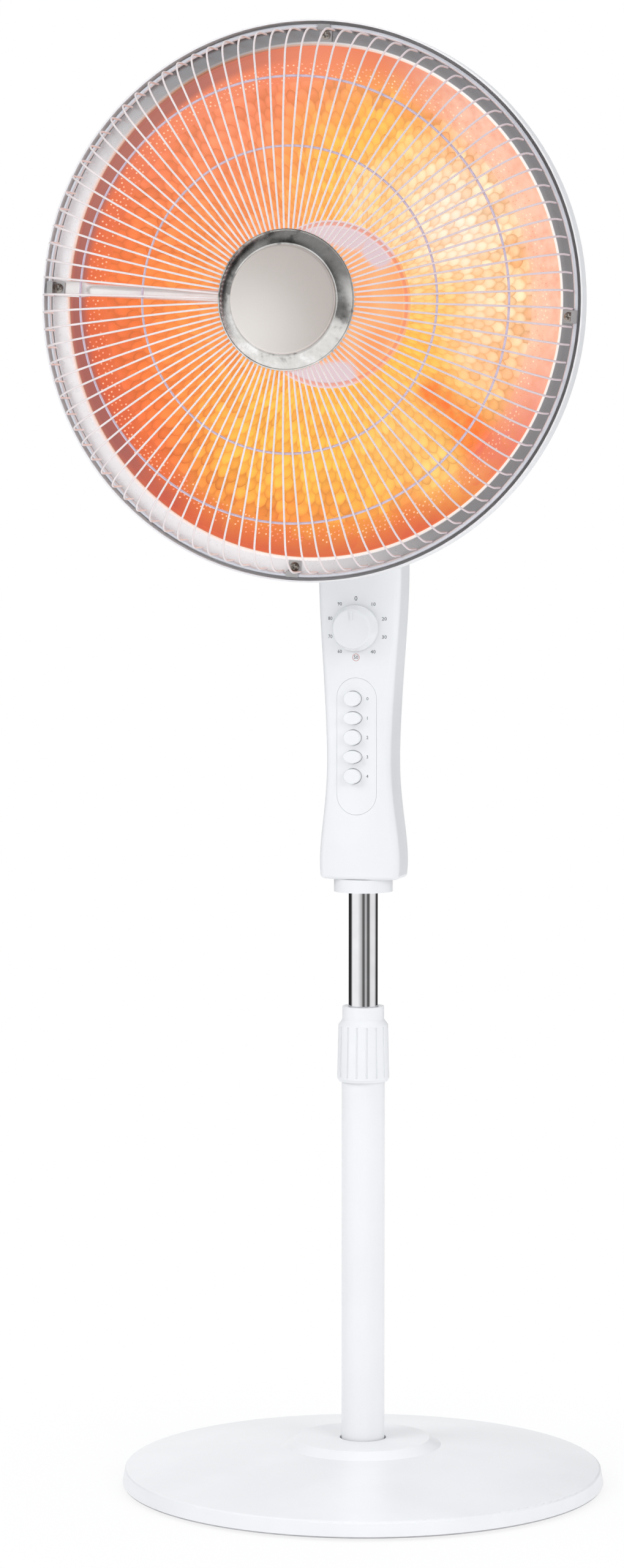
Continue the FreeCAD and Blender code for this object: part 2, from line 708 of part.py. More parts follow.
def oval_prism(half_width, half_height, level, low_y, high_y):
    """An oval round a button's axis at the given level, from low_y back to high_y."""
    oval = Part.Ellipse(Vector(0, 0, 0), half_width, half_height).toShape()
    prism = Part.Face(Part.Wire([oval])).extrude(Vector(0, 0, high_y - low_y))
    prism.rotate(ORIGIN, RIGHT, -90)
    prism.translate(Vector(BUTTON_SIDE, low_y, level))
    return prism


def button_levels():
    middle = (BUTTON_COUNT - 1) / 2
    return [button_row_z + (middle - k) * BUTTON_PITCH for k in range(BUTTON_COUNT)]


def button_size(k):
    if k % 2 == 0:
        return BUTTON_ROUND_HALF_WIDTH, BUTTON_ROUND_HALF_HEIGHT
    return BUTTON_FLAT_HALF_WIDTH, BUTTON_FLAT_HALF_HEIGHT


# Where the buttons' flanges and the switch stand behind the panel
button_edge = abs(BUTTON_SIDE) + BUTTON_FLAT_HALF_WIDTH + BUTTON_FLANGE
panel_back = BOX_WALL + SEAM_CLEARANCE + PANEL_FLANGE_THICKNESS
flange_y = -(BOX_FRONT - panel_back) + crown_drop(button_edge, panel_back) + SLIDE_CLEARANCE
flange_back_y = flange_y + BUTTON_FLANGE_THICKNESS
switch_y = flange_back_y + BUTTON_TRAVEL + SWITCH_GAP
switch_half_height = (BUTTON_COUNT - 1) * BUTTON_PITCH / 2 + SWITCH_END


def box_screw_places():
    ends = (box_z + BOX_SCREW_END, box_top_z - BOX_SCREW_END)
    return [Vector(side * BOX_SCREW_SIDE, 0, level) for side in (-1, 1) for level in ends]


def switch_screw_places():
    reach = switch_half_height + SWITCH_EAR / 2
    return [Vector(BUTTON_SIDE, switch_y, button_row_z + sign * reach) for sign in (-1, 1)]


def make_box():
    outside = box_space(0)
    middle_z = (box_z + box_top_z) / 2
    end_reach = BOX_HEIGHT / 2 - PICK_TOLERANCE
    boxes = [(edge, edge.BoundBox) for edge in outside.Edges]
    rims = [edge for edge, box in boxes
            if box.ZLength < 2 * PICK_TOLERANCE and abs(box.Center.z - middle_z) > end_reach]
    outside = outside.makeFillet(BOX_EDGE_ROUND, rims)
    shell = outside.cut(box_space(BOX_WALL))
    reach = BOX_HEAD_HALF_WIDTH + BOX_FRONT + BOX_REAR
    low = Vector(-reach, -reach, box_z - CUT_OVERRUN)
    front_half = block(low, Vector(reach, BOX_SEAM_BEHIND_AXIS, box_top_z + CUT_OVERRUN))
    front = shell.common(front_half)
    rear = shell.cut(front_half)
    screws = []
    seat_y = BOX_REAR - BOX_WALL
    for place in box_screw_places():
        start = Vector(place.x, -BOX_FRONT, place.z)
        front_post = rod(BOX_POST_RADIUS, BOX_FRONT + BOX_SEAM_BEHIND_AXIS, start, REAR).common(outside)
        rear_start = Vector(place.x, BOX_SEAM_BEHIND_AXIS, place.z)
        rear_post = rod(BOX_POST_RADIUS, BOX_REAR - BOX_SEAM_BEHIND_AXIS, rear_start, REAR).common(outside)
        front = front.fuse(front_post)
        rear = rear.fuse(rear_post)
        seat = Vector(place.x, seat_y, place.z)
        shank = seat_y - BOX_SEAM_BEHIND_AXIS + BOX_SCREW_BITE
        screws.append(screw(BOX_SCREW_RADIUS, shank, BOX_SCREW_HEAD_RADIUS,
                            BOX_SCREW_HEAD_HEIGHT, seat, FRONT))
        rear = rear.cut(rod(BOX_SCREW_HEAD_RADIUS + SEAM_CLEARANCE, BOX_WALL + CUT_OVERRUN, seat, REAR))
    front = front.cut(screws)
    rear = rear.cut(screws)
    stem_start = Vector(0, 0, box_z - CUT_OVERRUN)
    stem_hole = rod(SOCKET_STEM_RADIUS + SEAM_CLEARANCE, SOCKET_STEM_HEIGHT, stem_start)
    knob_hole = rod(TIMER_NECK_RADIUS + SEAM_CLEARANCE, BOX_FRONT, Vector(0, 0, knob_z), FRONT)
    panel_hole = stadium_prism(PANEL_WIDTH / 2 + SEAM_CLEARANCE, PANEL_HEIGHT / 2 + SEAM_CLEARANCE,
                               -BOX_FRONT - CUT_OVERRUN, 0)
    gland_hole = rod(GLAND_RADIUS + SEAM_CLEARANCE, BOX_REAR, Vector(0, 0, gland_z), REAR)
    vents = []
    for k in range(VENT_COUNT):
        level = box_z + VENT_SHARE * BOX_HEIGHT + k * VENT_PITCH
        corner = Vector(-VENT_WIDTH / 2, BOX_REAR - BOX_WALL - CUT_OVERRUN, level)
        vents.append(block(corner, Vector(VENT_WIDTH / 2, BOX_REAR + CUT_OVERRUN, level + VENT_HEIGHT)))
    front = front.cut([stem_hole, knob_hole, panel_hole] + fork_screws())
    rear = rear.cut([stem_hole, gland_hole] + vents + fork_screws())
    save("box_front", front)
    save("box_rear", rear)
    save("box_screws", *screws)


def switch_screws():
    length = SWITCH_EAR_THICKNESS + SWITCH_SCREW_BITE
    seats = [place + REAR * SWITCH_EAR_THICKNESS for place in switch_screw_places()]
    return [screw(SWITCH_SCREW_RADIUS, length, SWITCH_SCREW_HEAD_RADIUS,
                  SWITCH_SCREW_HEAD_HEIGHT, seat, FRONT) for seat in seats]


def make_panel():
    half_width = PANEL_WIDTH / 2
    half_height = PANEL_HEIGHT / 2
    flange_front = BOX_WALL + SEAM_CLEARANCE
    low_y = -BOX_FRONT - CUT_OVERRUN
    wide = stadium_prism(half_width + PANEL_FLANGE, half_height + PANEL_FLANGE, low_y, 0)
    slab = wide.common(box_space(0).cut(box_space(panel_back)))
    margin = wide.cut(stadium_prism(half_width, half_height, low_y, 0))
    panel = slab.cut(margin.cut(box_space(flange_front)))
    inner_y = flange_front - BOX_FRONT
    for place in switch_screw_places():
        post_start = Vector(place.x, inner_y, place.z)
        panel = panel.fuse(rod(SWITCH_POST_RADIUS, switch_y - inner_y, post_start, REAR))
    panel = panel.cut(switch_screws())
    for k, level in enumerate(button_levels()):
        wide_half, tall_half = button_size(k)
        hole = oval_prism(wide_half + SLIDE_CLEARANCE, tall_half + SLIDE_CLEARANCE, level, low_y, 0)
        panel = panel.cut(hole)
    save("button_panel", panel)


def make_buttons():
    for k, level in enumerate(button_levels()):
        wide_half, tall_half = button_size(k)
        front_y = -BOX_FRONT - BUTTON_PROUD
        cap = oval_prism(wide_half, tall_half, level, front_y, flange_back_y)
        face_edges = [e for e in cap.Edges if e.BoundBox.YMax < front_y + BUTTON_EDGE_ROUND]
        cap = cap.makeFillet(BUTTON_EDGE_ROUND, face_edges)
        flange = oval_prism(wide_half + BUTTON_FLANGE, tall_half + BUTTON_FLANGE, level,
                            flange_y, flange_back_y)
        stem_length = switch_y + STEM_BITE - flange_back_y
        stem = rod(STEM_RADIUS, stem_length, Vector(BUTTON_SIDE, flange_back_y, level), REAR)
        save("button_%d" % (k + 1), cap.fuse(flange).fuse(stem))


def make_switch():
    low = Vector(BUTTON_SIDE - SWITCH_WIDTH / 2, switch_y, button_row_z - switch_half_height)
    high = Vector(BUTTON_SIDE + SWITCH_WIDTH / 2, switch_y + SWITCH_DEPTH,
                  button_row_z + switch_half_height)
    ear_reach = Vector(0, 0, SWITCH_EAR)
    ears = block(low - ear_reach, Vector(high.x, switch_y + SWITCH_EAR_THICKNESS, high.z + SWITCH_EAR))
    switch = block(low, high).fuse(ears)
    depth = STEM_BITE + BUTTON_TRAVEL + SWITCH_GAP
    for level in button_levels():
        mouth = Vector(BUTTON_SIDE, switch_y, level)
        switch = switch.cut(rod(STEM_RADIUS + SLIDE_CLEARANCE, depth, mouth, REAR))
    for place in switch_screw_places():
        switch = switch.cut(rod(SWITCH_SCREW_RADIUS, SWITCH_EAR_THICKNESS, place, REAR))
    save("switch_block", switch)


def make_timer():
    body_y = -(BOX_FRONT - BOX_WALL) + crown_drop(TIMER_RADIUS, BOX_WALL) + SEAM_CLEARANCE
    centre = Vector(0, body_y, knob_z)
    body = rod(TIMER_RADIUS, TIMER_DEPTH, centre, REAR)
    neck_length = body_y + BOX_FRONT + NUT_THICKNESS
    body = body.fuse(rod(TIMER_NECK_RADIUS, neck_length, centre, FRONT))
    shaft_y = body_y + TIMER_SHAFT_BITE
    knob_y = -BOX_FRONT - KNOB_GAP
    shaft_length = shaft_y - knob_y + KNOB_RECESS_DEPTH + KNOB_SHAFT_BITE
    bore_start = Vector(0, shaft_y, knob_z)
    body = body.cut(rod(TIMER_SHAFT_RADIUS + RUN_CLEARANCE, shaft_length, bore_start, FRONT))
    nut = hexagon_prism(NUT_RADIUS, NUT_THICKNESS, Vector(0, -BOX_FRONT, knob_z), FRONT)
    nut = nut.cut(rod(TIMER_NECK_RADIUS, NUT_THICKNESS, Vector(0, -BOX_FRONT, knob_z), FRONT))
    shaft_start = Vector(0, shaft_y - RUN_CLEARANCE, knob_z)
    shaft = rod(TIMER_SHAFT_RADIUS, shaft_length - RUN_CLEARANCE, shaft_start, FRONT)
    quarter = KNOB_EDGE_ROUND * (1 - math.sqrt(0.5))
    outline = Outline(0, KNOB_RECESS_DEPTH).line(KNOB_RECESS_RADIUS, KNOB_RECESS_DEPTH)
    outline.line(KNOB_RECESS_RADIUS, 0).line(KNOB_RADIUS, 0).line(KNOB_RADIUS, KNOB_SKIRT)
    outline.line(KNOB_FACE_RADIUS, KNOB_HEIGHT - KNOB_EDGE_ROUND)
    tip = KNOB_FACE_RADIUS - KNOB_EDGE_ROUND
    outline.arc((KNOB_FACE_RADIUS - quarter, KNOB_HEIGHT - quarter), (tip, KNOB_HEIGHT))
    knob = outline.line(0, KNOB_HEIGHT).turned()
    pointer = block(Vector(-POINTER_WIDTH / 2, tip - POINTER_LENGTH, KNOB_HEIGHT - POINTER_HEIGHT),
                    Vector(POINTER_WIDTH / 2, tip, KNOB_HEIGHT + POINTER_HEIGHT))
    knob = knob.fuse(pointer)
    knob.rotate(ORIGIN, RIGHT, 90)
    knob.translate(Vector(0, knob_y, knob_z))
    save("timer_body", body)
    save("timer_nut", nut)
    save("timer_shaft", shaft)
    save("timer_knob", knob.cut(shaft))


def make_box_fittings():
    wall_y = BOX_REAR - BOX_WALL
    tip_z = box_z + TIP_SHARE * BOX_HEIGHT
    tip_switch = block(Vector(-TIP_WIDTH / 2, wall_y - TIP_DEPTH, tip_z),
                       Vector(TIP_WIDTH / 2, wall_y, tip_z + TIP_HEIGHT))
    terminal_z = box_z + TERMINAL_SHARE * BOX_HEIGHT
    terminal = block(Vector(-TERMINAL_WIDTH / 2, wall_y - TERMINAL_DEPTH, terminal_z),
                     Vector(TERMINAL_WIDTH / 2, wall_y, terminal_z + TERMINAL_HEIGHT))
    outer = Vector(0, BOX_REAR, gland_z)
    gland = rod(GLAND_FLANGE_RADIUS, GLAND_FLANGE, outer, REAR)
    gland = gland.fuse(rod(GLAND_RADIUS, BOX_WALL + GLAND_TAIL, outer, FRONT))
    bore_start = outer - REAR * (BOX_WALL + GLAND_TAIL)
    gland = gland.cut(rod(GLAND_BORE, BOX_WALL + GLAND_TAIL + GLAND_FLANGE, bore_start, REAR))
    save("tip_switch", tip_switch)
    save("terminal_block", terminal)
    save("cord_gland", gland)


def fork_screws():
    seat_z = box_top_z + FORK_PLATE
    length = FORK_PLATE + BOX_WALL + FORK_SCREW_TAIL
    places = [Vector(0, sign * FORK_SCREW_REACH, seat_z) for sign in (-1, 1)]
    return [screw(FORK_SCREW_RADIUS, length, FORK_SCREW_HEAD_RADIUS,
                  FORK_SCREW_HEAD_HEIGHT, place, UP * -1) for place in places]


def tilt_bolt():
    seat = Vector(-ear_outer, 0, tilt_z)
    head = hexagon_prism(TILT_BOLT_HEAD_RADIUS, TILT_BOLT_HEAD, seat, RIGHT * -1)
    return head.fuse(rod(TILT_BOLT_RADIUS, 2 * ear_outer + TILT_BOLT_TAIL, seat, RIGHT))


def make_fork():
    plate = block(Vector(-FORK_HALF_WIDTH, -FORK_HALF_DEPTH, box_top_z),
                  Vector(FORK_HALF_WIDTH, FORK_HALF_DEPTH, box_top_z + FORK_PLATE))
    fork = plate
    for start in (-ear_outer, ear_inner):
        cheek = block(Vector(start, -EAR_RADIUS, box_top_z),
                      Vector(start + EAR_THICKNESS, EAR_RADIUS, tilt_z))
        fork = fork.fuse(cheek).fuse(rod(EAR_RADIUS, EAR_THICKNESS, Vector(start, 0, tilt_z), RIGHT))
    fork = fork.cut([tilt_bolt()] + fork_screws()).removeSplitter()
    knob_start = Vector(ear_outer + SLIDE_CLEARANCE, 0, tilt_z)
    knob = rod(TILT_KNOB_RADIUS, TILT_KNOB_LENGTH, knob_start, RIGHT)
    scallop = rod(TILT_KNOB_SCALLOP, TILT_KNOB_LENGTH, knob_start + UP * TILT_KNOB_RADIUS, RIGHT)
    knob = knob.cut(copies(scallop, TILT_KNOB_LOBES, 0, knob_start, RIGHT))
    knob = knob.cut(rod(TILT_BOLT_RADIUS + RUN_CLEARANCE, TILT_KNOB_LENGTH, knob_start, RIGHT))
    save("tilt_fork", fork)
    save("inner_screws", socket_screw(), *(switch_screws() + fork_screws()))
    save("tilt_bolt", tilt_bolt())
    save("tilt_knob", knob)


def spindle_screw():
    seat = Vector(0, 0, arm_z + ARM_THICKNESS)
    return screw(SPINDLE_SCREW_RADIUS, ARM_THICKNESS + SPINDLE_SCREW_BITE, SPINDLE_SCREW_HEAD_RADIUS,
                 SPINDLE_SCREW_HEAD, seat, UP * -1)


def bar_with_eyes(start, end, start_radius, end_radius, thickness):
    """A flat bar between two round eyes, lying level."""
    along = end - start
    side = Vector(-along.y, along.x, 0).normalize()
    across = side * min(start_radius, end_radius)
    corners = [start + across, end + across, end - across, start - across, start + across]
    bar = Part.Face(Part.makePolygon(corners)).extrude(UP * thickness)
    return bar.fuse(rod(start_radius, thickness, start)).fuse(rod(end_radius, thickness, end))


def make_neck():
    straight_top = tilt_z + NECK_STRAIGHT
    shoulder_low = shoulder_z - SHOULDER_THICKNESS
    column = Outline(0, tilt_z).line(NECK_FOOT_RADIUS, tilt_z).line(NECK_FOOT_RADIUS, straight_top)
    column.line(NECK_HEAD_RADIUS, shoulder_low).line(SHOULDER_RADIUS, shoulder_low)
    column.line(SHOULDER_RADIUS, shoulder_z)
    column.line(SPINDLE_RADIUS, shoulder_z).line(SPINDLE_RADIUS, spindle_top_z).line(0, spindle_top_z)
    knuckle_half = ear_inner - SLIDE_CLEARANCE
    knuckle = rod(KNUCKLE_RADIUS, 2 * knuckle_half, Vector(-knuckle_half, 0, tilt_z), RIGHT)
    neck = column.turned().fuse(knuckle)
    bore_start = Vector(-ear_outer, 0, tilt_z)
    neck = neck.cut(rod(TILT_BOLT_RADIUS + RUN_CLEARANCE, 2 * ear_outer, bore_start, RIGHT))
    pin_place = Vector(ARM_REACH, 0, arm_z)
    arm_start = Vector(0, 0, arm_z)
    arm = bar_with_eyes(arm_start, pin_place, SPINDLE_RADIUS, ARM_PIN_RADIUS + ARM_EYE, ARM_THICKNESS)
    arm = arm.fuse(rod(ARM_PIN_RADIUS, ARM_THICKNESS + DRIVE_GAP + LINK_THICKNESS, pin_place))
    save("neck", neck.cut(spindle_screw()))
    save("swing_arm", arm.cut(spindle_screw()))
    save("spindle_screw", spindle_screw())


def make_drive():
    centre = Vector(0, -motor_ahead, crank_z)
    pin_place = Vector(CRANK_REACH, -motor_ahead, link_z)
    crank = rod(CRANK_RADIUS, CRANK_THICKNESS, centre)
    crank = crank.cut(rod(MOTOR_SHAFT_RADIUS, CRANK_THICKNESS, centre))
    crank = crank.fuse(rod(CRANK_PIN_RADIUS, LINK_THICKNESS + DRIVE_GAP, pin_place))
    link_end = Vector(ARM_REACH, 0, link_z)
    crank_hole = CRANK_PIN_RADIUS + RUN_CLEARANCE
    arm_hole = ARM_PIN_RADIUS + LINK_OPEN_CLEARANCE
    link = bar_with_eyes(pin_place, link_end, crank_hole + LINK_RIM, arm_hole + LINK_RIM, LINK_THICKNESS)
    link = link.cut([rod(crank_hole, LINK_THICKNESS, pin_place), rod(arm_hole, LINK_THICKNESS, link_end)])
    motor = rod(MOTOR_RADIUS, MOTOR_HEIGHT, Vector(0, -motor_ahead, motor_z))
    shaft = rod(MOTOR_SHAFT_RADIUS, motor_z - crank_z, centre)
    save("crank", crank.fuse(shaft))
    save("link", link)
    save("swing_motor", motor)


def bracket_screw_places():
    sides = (-BRACKET_SCREW_SIDE, BRACKET_SCREW_SIDE)
    rises = (-BRACKET_SCREW_RISE, BRACKET_SCREW_RISE)
    return [Vector(side, rise, shell_front_u) for side in sides for rise in rises]


def bracket_screws():
    length = SHELL_WALL + BRACKET_PLATE + BRACKET_SCREW_TAIL
    screws = [screw(BRACKET_SCREW_RADIUS, length, BRACKET_SCREW_HEAD_RADIUS,
                    BRACKET_SCREW_HEAD, place, UP * -1) for place in bracket_screw_places()]
    return [on_head(one) for one in screws]


def cover_screw():
    seat = Vector(0, rear_end_y, stud_z)
    return screw(COVER_SCREW_RADIUS, REAR_WALL + COVER_SCREW_BITE, COVER_SCREW_HEAD_RADIUS,
                 COVER_SCREW_HEAD, seat, FRONT)


def make_bracket():
    boss_z = shoulder_z + SLIDE_CLEARANCE
    boss_top = spindle_top_z - DRIVE_GAP
    arm_z_low = boss_top - BRACKET_ARM_HEIGHT
    bracket = rod(BOSS_RADIUS, boss_top - boss_z, Vector(0, 0, boss_z))
    arm = block(Vector(-BRACKET_ARM_HALF_WIDTH, bracket_y, arm_z_low),
                Vector(BRACKET_ARM_HALF_WIDTH, 0, boss_top))
    plate = block(Vector(-BRACKET_HALF_WIDTH, bracket_y, arm_z_low),
                  Vector(BRACKET_HALF_WIDTH, bracket_back_y, head_z + BRACKET_TOP_REACH))
    shelf = block(Vector(-SHELF_HALF_WIDTH, bracket_y, shelf_z),
                  Vector(SHELF_HALF_WIDTH, -motor_ahead + MOTOR_RADIUS, shelf_z + SHELF_THICKNESS))
    shaft_hole = Vector(0, -motor_ahead, shelf_z)
    shelf = shelf.cut(rod(MOTOR_SHAFT_RADIUS + SLIDE_CLEARANCE, SHELF_THICKNESS, shaft_hole))
    stud_length = rear_end_y - REAR_WALL - bracket_back_y
    stud = rod(COVER_STUD_RADIUS, stud_length, Vector(0, bracket_back_y, stud_z), REAR)
    bracket = bracket.fuse([arm, plate, shelf, stud])
    bracket = bracket.cut(rod(SPINDLE_RADIUS + RUN_CLEARANCE, SPINDLE_LENGTH, Vector(0, 0, shoulder_z)))
    save("head_bracket", bracket.cut(bracket_screws() + [cover_screw()]).removeSplitter())
    save("head_screws", cover_screw(), *bracket_screws())


def rear_space(inset):
    """The space inside the rear cover's outer face, drawn along the dish's axis."""
    front_u = shell_back_u
    back_u = front_u - rear_depth + inset
    side_u = back_u + REAR_ROUND_DEPTH
    waist_u = front_u - rear_depth / 3
    outline = Outline(0, front_u).line(REAR_FRONT_RADIUS - inset, front_u)
    outline.arc((REAR_WAIST_RADIUS - inset, waist_u), (REAR_BACK_RADIUS - inset, side_u))
    reach = REAR_BACK_RADIUS - REAR_CROWN_RADIUS
    crown = REAR_CROWN_RADIUS - inset
    half = math.sqrt(0.5)
    outline.arc((crown + reach * half, side_u - REAR_ROUND_DEPTH * half), (crown, back_u))
    return outline.line(0, back_u).turned()


def make_rear_cover():
    cover = on_head(rear_space(0).cut(rear_space(REAR_WALL)))
    hole_radius = BOSS_RADIUS + REAR_HOLE_GAP
    hole_z = shoulder_z - SHOULDER_THICKNESS
    cover = cover.cut(rod(hole_radius, head_z - hole_z - CUT_OVERRUN, Vector(0, 0, hole_z)))
    back_u = shell_back_u - rear_depth
    slot = block(Vector(REAR_VENT_INNER, -REAR_VENT_WIDTH / 2, back_u - CUT_OVERRUN),
                 Vector(REAR_VENT_OUTER, REAR_VENT_WIDTH / 2, back_u + REAR_WALL + CUT_OVERRUN))
    slots = [on_head(one) for one in copies(slot, REAR_VENT_COUNT, 180.0 / REAR_VENT_COUNT)]
    save("rear_cover", cover.cut(slots).cut(cover_screw()))


def dish_depth(radius):
    """Depth of the reflecting face on its parabola through the lip and the hub's edge."""
    fall = (lip_u - hub_u) / (lip_inner ** 2 - HUB_RADIUS ** 2)
    return hub_u + fall * (radius ** 2 - HUB_RADIUS ** 2)


def reflector_front(offset):
    """Points of the reflecting bowl's arc, hub to lip, moved back by the offset."""
    middle = (HUB_RADIUS + lip_inner) / 2
    return (HUB_RADIUS, hub_u - offset), (middle, dish_depth(middle) - offset), (lip_inner, lip_u - offset)


def make_reflector():
    hub_front, middle_front, lip_front = reflector_front(HUB_THICKNESS)
    hub_rear, middle_rear, lip_rear = reflector_front(HUB_THICKNESS + REFLECTOR_WALL)
    quarter = LIP_ROUND * (1 - math.sqrt(0.5))
    flange_u = -FLANGE_BEHIND
    lip_start = (lip_inner, lip_u)
    outline = Outline(HUB_RADIUS - HUB_SEAT, hub_front[1]).line(*hub_front).arc(middle_front, lip_front)
    outline.line(*lip_start)
    outline.arc((lip_inner + quarter, flange_u - quarter), (lip_radius, flange_u))
    outline.line(flange_radius, flange_u).line(flange_radius, flange_u - REFLECTOR_WALL)
    outline.line(lip_radius, flange_u - REFLECTOR_WALL).line(lip_radius, lip_rear[1])
    outline.line(*lip_rear).arc(middle_rear, hub_rear).line(HUB_RADIUS - HUB_SEAT, hub_rear[1])
    reflector = on_head(outline.turned()).cut(clip_screws())
    bead_inner = HUB_RADIUS - HUB_BEAD
    bead_middle = HUB_RADIUS - HUB_BEAD / 2
    plate = Outline(0, hub_seat_u).line(HUB_RADIUS - SEAM_CLEARANCE, hub_seat_u)
    plate.arc((bead_middle, hub_u + HUB_BEAD_HEIGHT), (bead_inner, hub_u)).line(0, hub_u)
    spacer = rod(SPACER_RADIUS, hub_seat_u - shell_front_u, Vector(SPACER_CIRCLE, 0, shell_front_u))
    save("reflector", reflector)
    save("hub_plate", on_head(plate.turned()))
    save("hub_spacers", *[on_head(one) for one in copies(spacer, SPACER_COUNT, 90.0)])
    cutout_height = hub_seat_u - shell_front_u - SLIDE_CLEARANCE
    cutout = rod(CUTOUT_RADIUS, cutout_height, Vector(0, -CUTOUT_BELOW_AXIS, shell_front_u))
    save("thermal_cutout", on_head(cutout))


def shell_space(inset, front_u):
    """The space in front of the dish shell's outer face, drawn in by the inset, up to front_u."""
    rim = shell_rim - inset
    band_u = -SHELL_BAND + inset
    back = SHELL_BACK_RADIUS
    back_u = shell_back_u + inset
    middle = (rim + back) / 2
    straight = (band_u + back_u) / 2
    bulge = dish_depth((HUB_RADIUS + lip_inner) / 2) - (hub_u + lip_u) / 2
    outline = Outline(0, back_u).line(back, back_u).arc((middle, straight + bulge), (rim, band_u))
    return outline.line(rim, front_u).line(0, front_u).turned()


def make_shell():
    outside = shell_space(0, SHELL_LIP)
    shell = outside.cut(shell_space(SHELL_WALL, SHELL_LIP + CUT_OVERRUN))
    post_top = -FLANGE_BEHIND - REFLECTOR_WALL
    post = rod(RIM_POST_RADIUS, post_top - shell_back_u, Vector(clip_screw_circle, 0, shell_back_u))
    post = post.common(outside)
    for one in copies(post, CLIP_COUNT, -CLIP_TURN):
        shell = shell.fuse(one)
    save("dish_shell", on_head(shell).cut(clip_screws() + bracket_screws()))


def clip_lift(k):
    """The clip on the arm's side sits on the arm's flat end."""
    return 2 * ARM_TAB_HALF_THICKNESS if k == CLIP_COUNT // 2 else 0


def clip_screws():
    length = FLANGE_BEHIND + REFLECTOR_WALL
    screws = []
    for k in range(CLIP_COUNT):
        seat = Vector(clip_screw_circle, 0, -FLANGE_BEHIND + CLIP_SHEET + clip_lift(k))
        one = screw(CLIP_SCREW_RADIUS, length, CLIP_SCREW_HEAD_RADIUS, CLIP_SCREW_HEAD, seat, UP * -1)
        one.rotate(ORIGIN, UP, k * 360.0 / CLIP_COUNT - CLIP_TURN)
        screws.append(on_head(one))
    return screws


def make_clips():
    clips = []
    wall_outer = GUARD_RADIUS - RIM_WIRE_RADIUS - SEAM_CLEARANCE
    wall_inner = wall_outer - CLIP_SHEET
    over = RIM_WIRE_RADIUS + SEAM_CLEARANCE
    hook = GUARD_RADIUS + RIM_WIRE_RADIUS
    for k in range(CLIP_COUNT):
        seat = -FLANGE_BEHIND + clip_lift(k)
        foot = clip_screw_circle - CLIP_WIDTH / 2
        outline = Outline(foot, seat).line(wall_outer, seat).line(wall_outer, over)
        outline.line(hook, over).line(hook, over + CLIP_SHEET).line(wall_inner, over + CLIP_SHEET)
        outline.line(wall_inner, seat + CLIP_SHEET).line(foot, seat + CLIP_SHEET)
        clip = outline.extruded(CLIP_WIDTH / 2)
        clip.rotate(ORIGIN, UP, k * 360.0 / CLIP_COUNT - CLIP_TURN)
        clips.append(on_head(clip).cut(clip_screws()))
    save("guard_clips", *clips)
    save("clip_screws", *clip_screws())


def spoke_path():
    """One guard wire in its plane: a gentle front, a tight shoulder and a straight fall to the rim."""
    start = Vector(SPOKE_END_RADIUS, 0, SPOKE_END_AHEAD)
    ring = Vector(guard_outer_ring, 0, GUARD_OUTER_AHEAD)
    inner = Vector(guard_inner_ring, 0, GUARD_INNER_AHEAD)
    front = Part.Arc(start, inner, ring)
    slope = front.tangent(front.LastParameter)[0].normalize()
    foot_radius = GUARD_RADIUS - RIM_WIRE_RADIUS - SPOKE_RADIUS
    fall = Vector(0, 0, -1)
    turn = math.acos(slope.dot(fall))
    tangent = SHOULDER_ARC * math.tan(turn / 2)
    run = (foot_radius - ring.x) / slope.x
    corner = ring + slope * run
    bend_start = corner - slope * tangent
    bend_end = corner + fall * tangent
    centre_line = (bend_start + bend_end) / 2
    toward = (corner - centre_line).normalize()
    sagitta = SHOULDER_ARC * (1 - math.cos(turn / 2))
    bend = Part.Arc(bend_start, centre_line + toward * sagitta, bend_end)
    end = Vector(foot_radius, 0, -SPOKE_RADIUS)
    edges = [front.toShape(), Part.makeLine(ring, bend_start), bend.toShape(), Part.makeLine(bend_end, end)]
    return Part.Wire(edges), slope


def ring_wire(radius, ahead, wire_radius):
    return on_head(Part.makeTorus(radius, wire_radius, Vector(0, 0, ahead)))


def make_guard():
    path, slope = spoke_path()
    start = path.Edges[0].valueAt(path.Edges[0].FirstParameter)
    direction = path.Edges[0].tangentAt(path.Edges[0].FirstParameter)
    section = Part.Wire([Part.makeCircle(SPOKE_RADIUS, start, direction)])
    spoke = path.makePipeShell([section], True, False)
    save("guard_spokes", *[on_head(one) for one in copies(spoke, SPOKE_COUNT, 180.0 / SPOKE_COUNT)])
    below = SPOKE_RADIUS + RING_WIRE_RADIUS
    outer = ring_wire(guard_outer_ring, GUARD_OUTER_AHEAD - below / slope.x, RING_WIRE_RADIUS)
    inner = ring_wire(guard_inner_ring, GUARD_INNER_AHEAD - below, RING_WIRE_RADIUS)
    hub = ring_wire(SPOKE_END_RADIUS + RING_WIRE_RADIUS, SPOKE_END_AHEAD - below, RING_WIRE_RADIUS)
    save("guard_rings", outer, inner, hub)
    save("guard_rim", ring_wire(GUARD_RADIUS, 0, RIM_WIRE_RADIUS))


def make_cap():
    skirt_u = CAP_AHEAD - CAP_SKIRT
    cap = Outline(CAP_RADIUS - CAP_RIM, skirt_u).line(CAP_RADIUS, skirt_u).line(CAP_RADIUS, CAP_AHEAD)
    cap.line(CAP_SLOPE_RADIUS, cap_roof_u).line(0, cap_roof_u).line(0, cap_roof_u - CAP_SHEET)
    cap.line(CAP_SLOPE_RADIUS - CAP_SHEET / 2, cap_roof_u - CAP_SHEET)
    quarter = DISC_EDGE_ROUND * (1 - math.sqrt(0.5))
    top = cap_roof_u + DISC_THICKNESS
    disc = Outline(0, cap_roof_u).line(DISC_RADIUS, cap_roof_u).line(DISC_RADIUS, top - DISC_EDGE_ROUND)
    disc.arc((DISC_RADIUS - quarter, top - quarter), (DISC_RADIUS - DISC_EDGE_ROUND, top)).line(0, top)
    save("cap_shell", on_head(cap.turned()))
    save("cap_disc", on_head(disc.turned()))


